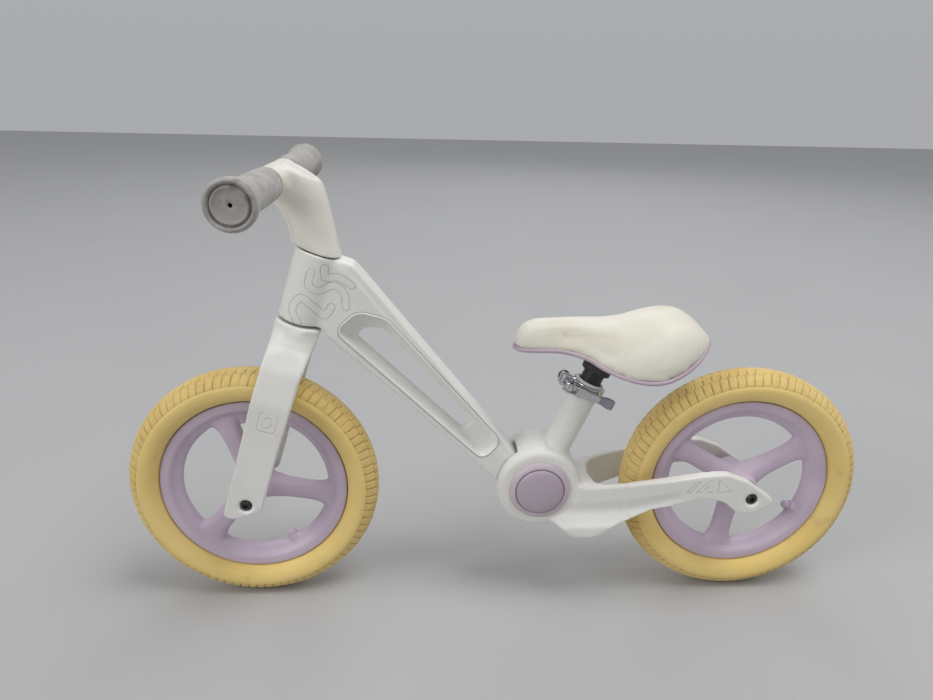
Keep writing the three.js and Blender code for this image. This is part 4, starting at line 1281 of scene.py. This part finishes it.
def metal(name, base, rough):
    look = Look(name, rough, 1.0)
    streaks = look.mix(look.patches(1.6, 4, 0.3, 0.7), base, tuple(c * 0.8 for c in base))
    return look.finished(streaks, ((0.8, 2, 0.01),), look.patches(3, 4, 0.3, 0.7, rough - 0.05, rough + 0.12))


def anodised():
    look = Look("post_black_anodised", 0.38, Specular_IOR_Level=0.5)
    scuff = look.span(look.noise(2.2, 5, (1, 1, 0.15)), 0.58, 0.75)
    black = look.mix(look.times(scuff, 0.5), (0.012, 0.012, 0.014), (0.10, 0.10, 0.105))
    return look.finished(black, ((0.8, 2, 0.01),))


def black_rubber():
    look = Look("tube_black_rubber", 0.75)
    black = look.mix(look.patches(12, 4, 0.3, 0.7), (0.02, 0.02, 0.022), (0.045, 0.042, 0.04))
    return look.finished(black, ((1.5, 3, 0.05),))


def lever_finish():
    """Plated lever with a grey plastic tip."""
    look = Look("lever_chrome_and_tip", 0.22)
    tip = look.stored("tip")
    plated = look.mix(look.patches(2, 4, 0.3, 0.7), (0.62, 0.62, 0.63), (0.5, 0.5, 0.51))
    look.link(look.span(tip, 0.0, 1.0, 1.0, 0.0), look.shader.inputs["Metallic"])
    colour = look.mix(tip, plated, (0.24, 0.25, 0.265))
    return look.finished(colour, ((0.8, 2, 0.015),), look.span(tip, 0.0, 1.0, 0.22, 0.5))


PAINT = frame_paint()
STEM_PAINT = stem_paint()
RIM_PLASTIC = moulded("rim_lilac", (0.545, 0.445, 0.55), (0.59, 0.49, 0.59))
TRIM_PLASTIC = moulded("trim_greyed_lilac", (0.43, 0.355, 0.42), (0.47, 0.395, 0.455), 0.42)
RING_PLASTIC = moulded("ring_pale_lilac", (0.55, 0.465, 0.51), (0.59, 0.505, 0.55), 0.42)
PAN_PLASTIC = pan_plastic()
PIPING_PLASTIC = moulded("piping_lilac", (0.48, 0.38, 0.45), (0.53, 0.43, 0.50), 0.5)
TYRE = tyre_rubber()
GRIP = grip_rubber()
VINYL = vinyl()
STEEL = metal("steel_bright", (0.56, 0.56, 0.57), 0.28)
DARK_STEEL = metal("steel_black_oxide", (0.085, 0.085, 0.085), 0.32)
CHROME = metal("chrome_plated", (0.66, 0.66, 0.67), 0.14)
POST = anodised()
INNER_TUBE = black_rubber()
LEVER = lever_finish()


def finish(obj, material, body, node):
    """Gives a piece its material and the body it rides on, and says which node it stands for."""
    obj.data.materials.clear()
    obj.data.materials.append(material)
    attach(obj, body)
    if node:
        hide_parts(*node.split())
    return obj


# ---------- the bike ----------
finish(front_frame(), PAINT, "front_frame", "front_frame")
finish(rear_frame(), PAINT, "rear_frame", "rear_frame")
finish(fork(), PAINT, "steerer", "fork")
finish(stem(), STEM_PAINT, "steerer", "stem")
finish(grip(-1), GRIP, "steerer", "grip_left")
finish(grip(1), GRIP, "steerer", "grip_right")
finish(hub_ring(), RING_PLASTIC, "rear_frame", "hub_ring")
finish(hub_cover(), TRIM_PLASTIC, "rear_frame", "hub_cover_right")
finish(fold_button(), TRIM_PLASTIC, "fold_button", "fold_button")

WHEELS = (
    ("front", -AXLE_X, (110, 230, 350), 298, 96, BLADE_INNER, BLADE_OUTER, "steerer"),
    ("rear", AXLE_X, (30, 150, 262), 332, None, STAY_INNER, STAY_OUTER, "rear_frame"),
)
for end, axle_x, spokes, valve, bump, inner, outer, holder in WHEELS:
    wheel = f"{end}_wheel"
    axle = (axle_x, 0, AXLE_Z)
    finish(tyre(f"{end}_tyre_tread", axle_x), TYRE, wheel, f"{end}_tyre")
    spoked = rim(f"{end}_spoked_rim", axle_x, spokes, valve, bump)
    finish(spoked, RIM_PLASTIC, wheel, f"{end}_rim")
    finish(valve_cap(f"{end}_dust_cap", axle_x, valve), RIM_PLASTIC, wheel, f"{end}_valve_cap")
    for side_name, side in (("left", -1), ("right", 1)):
        finish(
            bolt(f"{end}_socket_bolt_{side_name}", side, outer, axle),
            DARK_STEEL, holder, f"{end}_axle_bolt_{side_name}")
        finish(
            spacer(f"{end}_hub_spacer_{side_name}", side, inner, axle),
            DARK_STEEL, holder, f"{end}_spacer_{side_name}")

finish(clamp_collar(), CHROME, "rear_frame", "clamp_collar")
finish(clamp_nut(), DARK_STEEL, "rear_frame", "clamp_nut")
finish(clamp_lever(), LEVER, "clamp_lever", "clamp_lever")
finish(seat_post(), POST, "seat", "seat_post")
finish(saddle_base(), PAN_PLASTIC, "seat", "saddle_base")
cushion = finish(saddle_cushion(), VINYL, "seat", "saddle_cushion")
finish(saddle_piping(), PIPING_PLASTIC, "seat", None)

# The CAD solids that are shown as they are, by material.
CARRIED = [
    (STEEL, "headset_bearing_lower headset_bearing_upper handlebar_tube"),
    (STEEL, "pivot_pin lock_plunger button_spring"),
    (DARK_STEEL, "steerer_bolt lever_pin saddle_bolt"),
    (CHROME, "clamp_bolt"),
]
for end in ("front", "rear"):
    CARRIED.append((INNER_TUBE, f"{end}_inner_tube"))
    CARRIED.append((STEEL, f"{end}_valve_stem {end}_axle {end}_bearing_left {end}_bearing_right"))
for material, nodes in CARRIED:
    for node in nodes.split():
        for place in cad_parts[node].material_slots:
            place.material = material


# ---------- floor, light and camera ----------
FLOOR_HALF = 9000.0
LIGHT_TARGET = (0, 0, 0.2)
CAMERA_PLACE = (-0.0918, -0.7837, 0.5965)
CAMERA_YAW, CAMERA_PITCH, CAMERA_ROLL = -0.0591, -0.3427, 0.0239


def floor():
    corners = [(x * FLOOR_HALF, y * FLOOR_HALF, 0) for x, y in ((-1, -1), (1, -1), (1, 1), (-1, 1))]
    obj = mesh_object("floor", corners, [(0, 1, 2, 3)])
    look = Look("floor_pale", 0.8)
    grey = look.mix(look.noise(400, 2), (0.42, 0.42, 0.42), (0.45, 0.45, 0.45))
    obj.data.materials.append(look.finished(grey, ()))


def area_light(name, place, size, power):
    """A round light that faces the bike's middle."""
    lamp = bpy.data.lights.new(name, "AREA")
    lamp.shape = "DISK"
    lamp.size = size
    lamp.energy = power
    obj = bpy.data.objects.new(name, lamp)
    bpy.context.collection.objects.link(obj)
    obj.location = place
    obj.rotation_euler = (Vector(LIGHT_TARGET) - Vector(place)).to_track_quat("-Z", "Y").to_euler()


def overcast_sky(tree):
    """Even light from all round, a little brighter overhead."""
    direction = tree.nodes.new("ShaderNodeTexCoord")
    parts = tree.nodes.new("ShaderNodeSeparateXYZ")
    height = tree.nodes.new("ShaderNodeMapRange")
    tint = tree.nodes.new("ShaderNodeMix")
    tint.data_type = "RGBA"
    tint.inputs["A"].default_value = (0.40, 0.405, 0.415, 1)
    tint.inputs["B"].default_value = (0.50, 0.51, 0.53, 1)
    tree.links.new(direction.outputs["Generated"], parts.inputs[0])
    tree.links.new(parts.outputs["Z"], height.inputs["Value"])
    tree.links.new(height.outputs["Result"], tint.inputs["Factor"])
    tree.links.new(tint.outputs["Result"], tree.nodes["Background"].inputs["Color"])


def photo_camera():
    """Stands at the left of the bike, above it, looking down a little."""
    yaw, pitch, roll = CAMERA_YAW, CAMERA_PITCH, CAMERA_ROLL
    forward = Vector((-math.sin(yaw) * math.cos(pitch), math.cos(yaw) * math.cos(pitch), math.sin(pitch)))
    level = Vector((math.cos(yaw), math.sin(yaw), 0))
    upright = level.cross(forward)
    right = math.cos(roll) * level + math.sin(roll) * upright
    up = -math.sin(roll) * level + math.cos(roll) * upright
    data = bpy.data.cameras.new("camera")
    data.sensor_width = 36.0
    data.lens = 28.0
    data.dof.use_dof = False
    obj = bpy.data.objects.new("camera", data)
    turn = Matrix((right, up, -forward)).transposed().to_4x4()
    obj.matrix_world = Matrix.Translation(CAMERA_PLACE) @ turn
    bpy.context.collection.objects.link(obj)
    bpy.context.scene.camera = obj


floor()
photo_camera()
area_light("key", (-4.2, -2.6, 2.8), 2.4, 80)
area_light("sky", (1.6, -0.8, 5.2), 2.8, 140)
area_light("back", (0.8, 4.4, 3.0), 2.6, 26)
world = bpy.data.worlds.new("studio")
world.use_nodes = True
overcast_sky(world.node_tree)
bpy.context.scene.world = world
bpy.context.scene.view_settings.view_transform = "Standard"
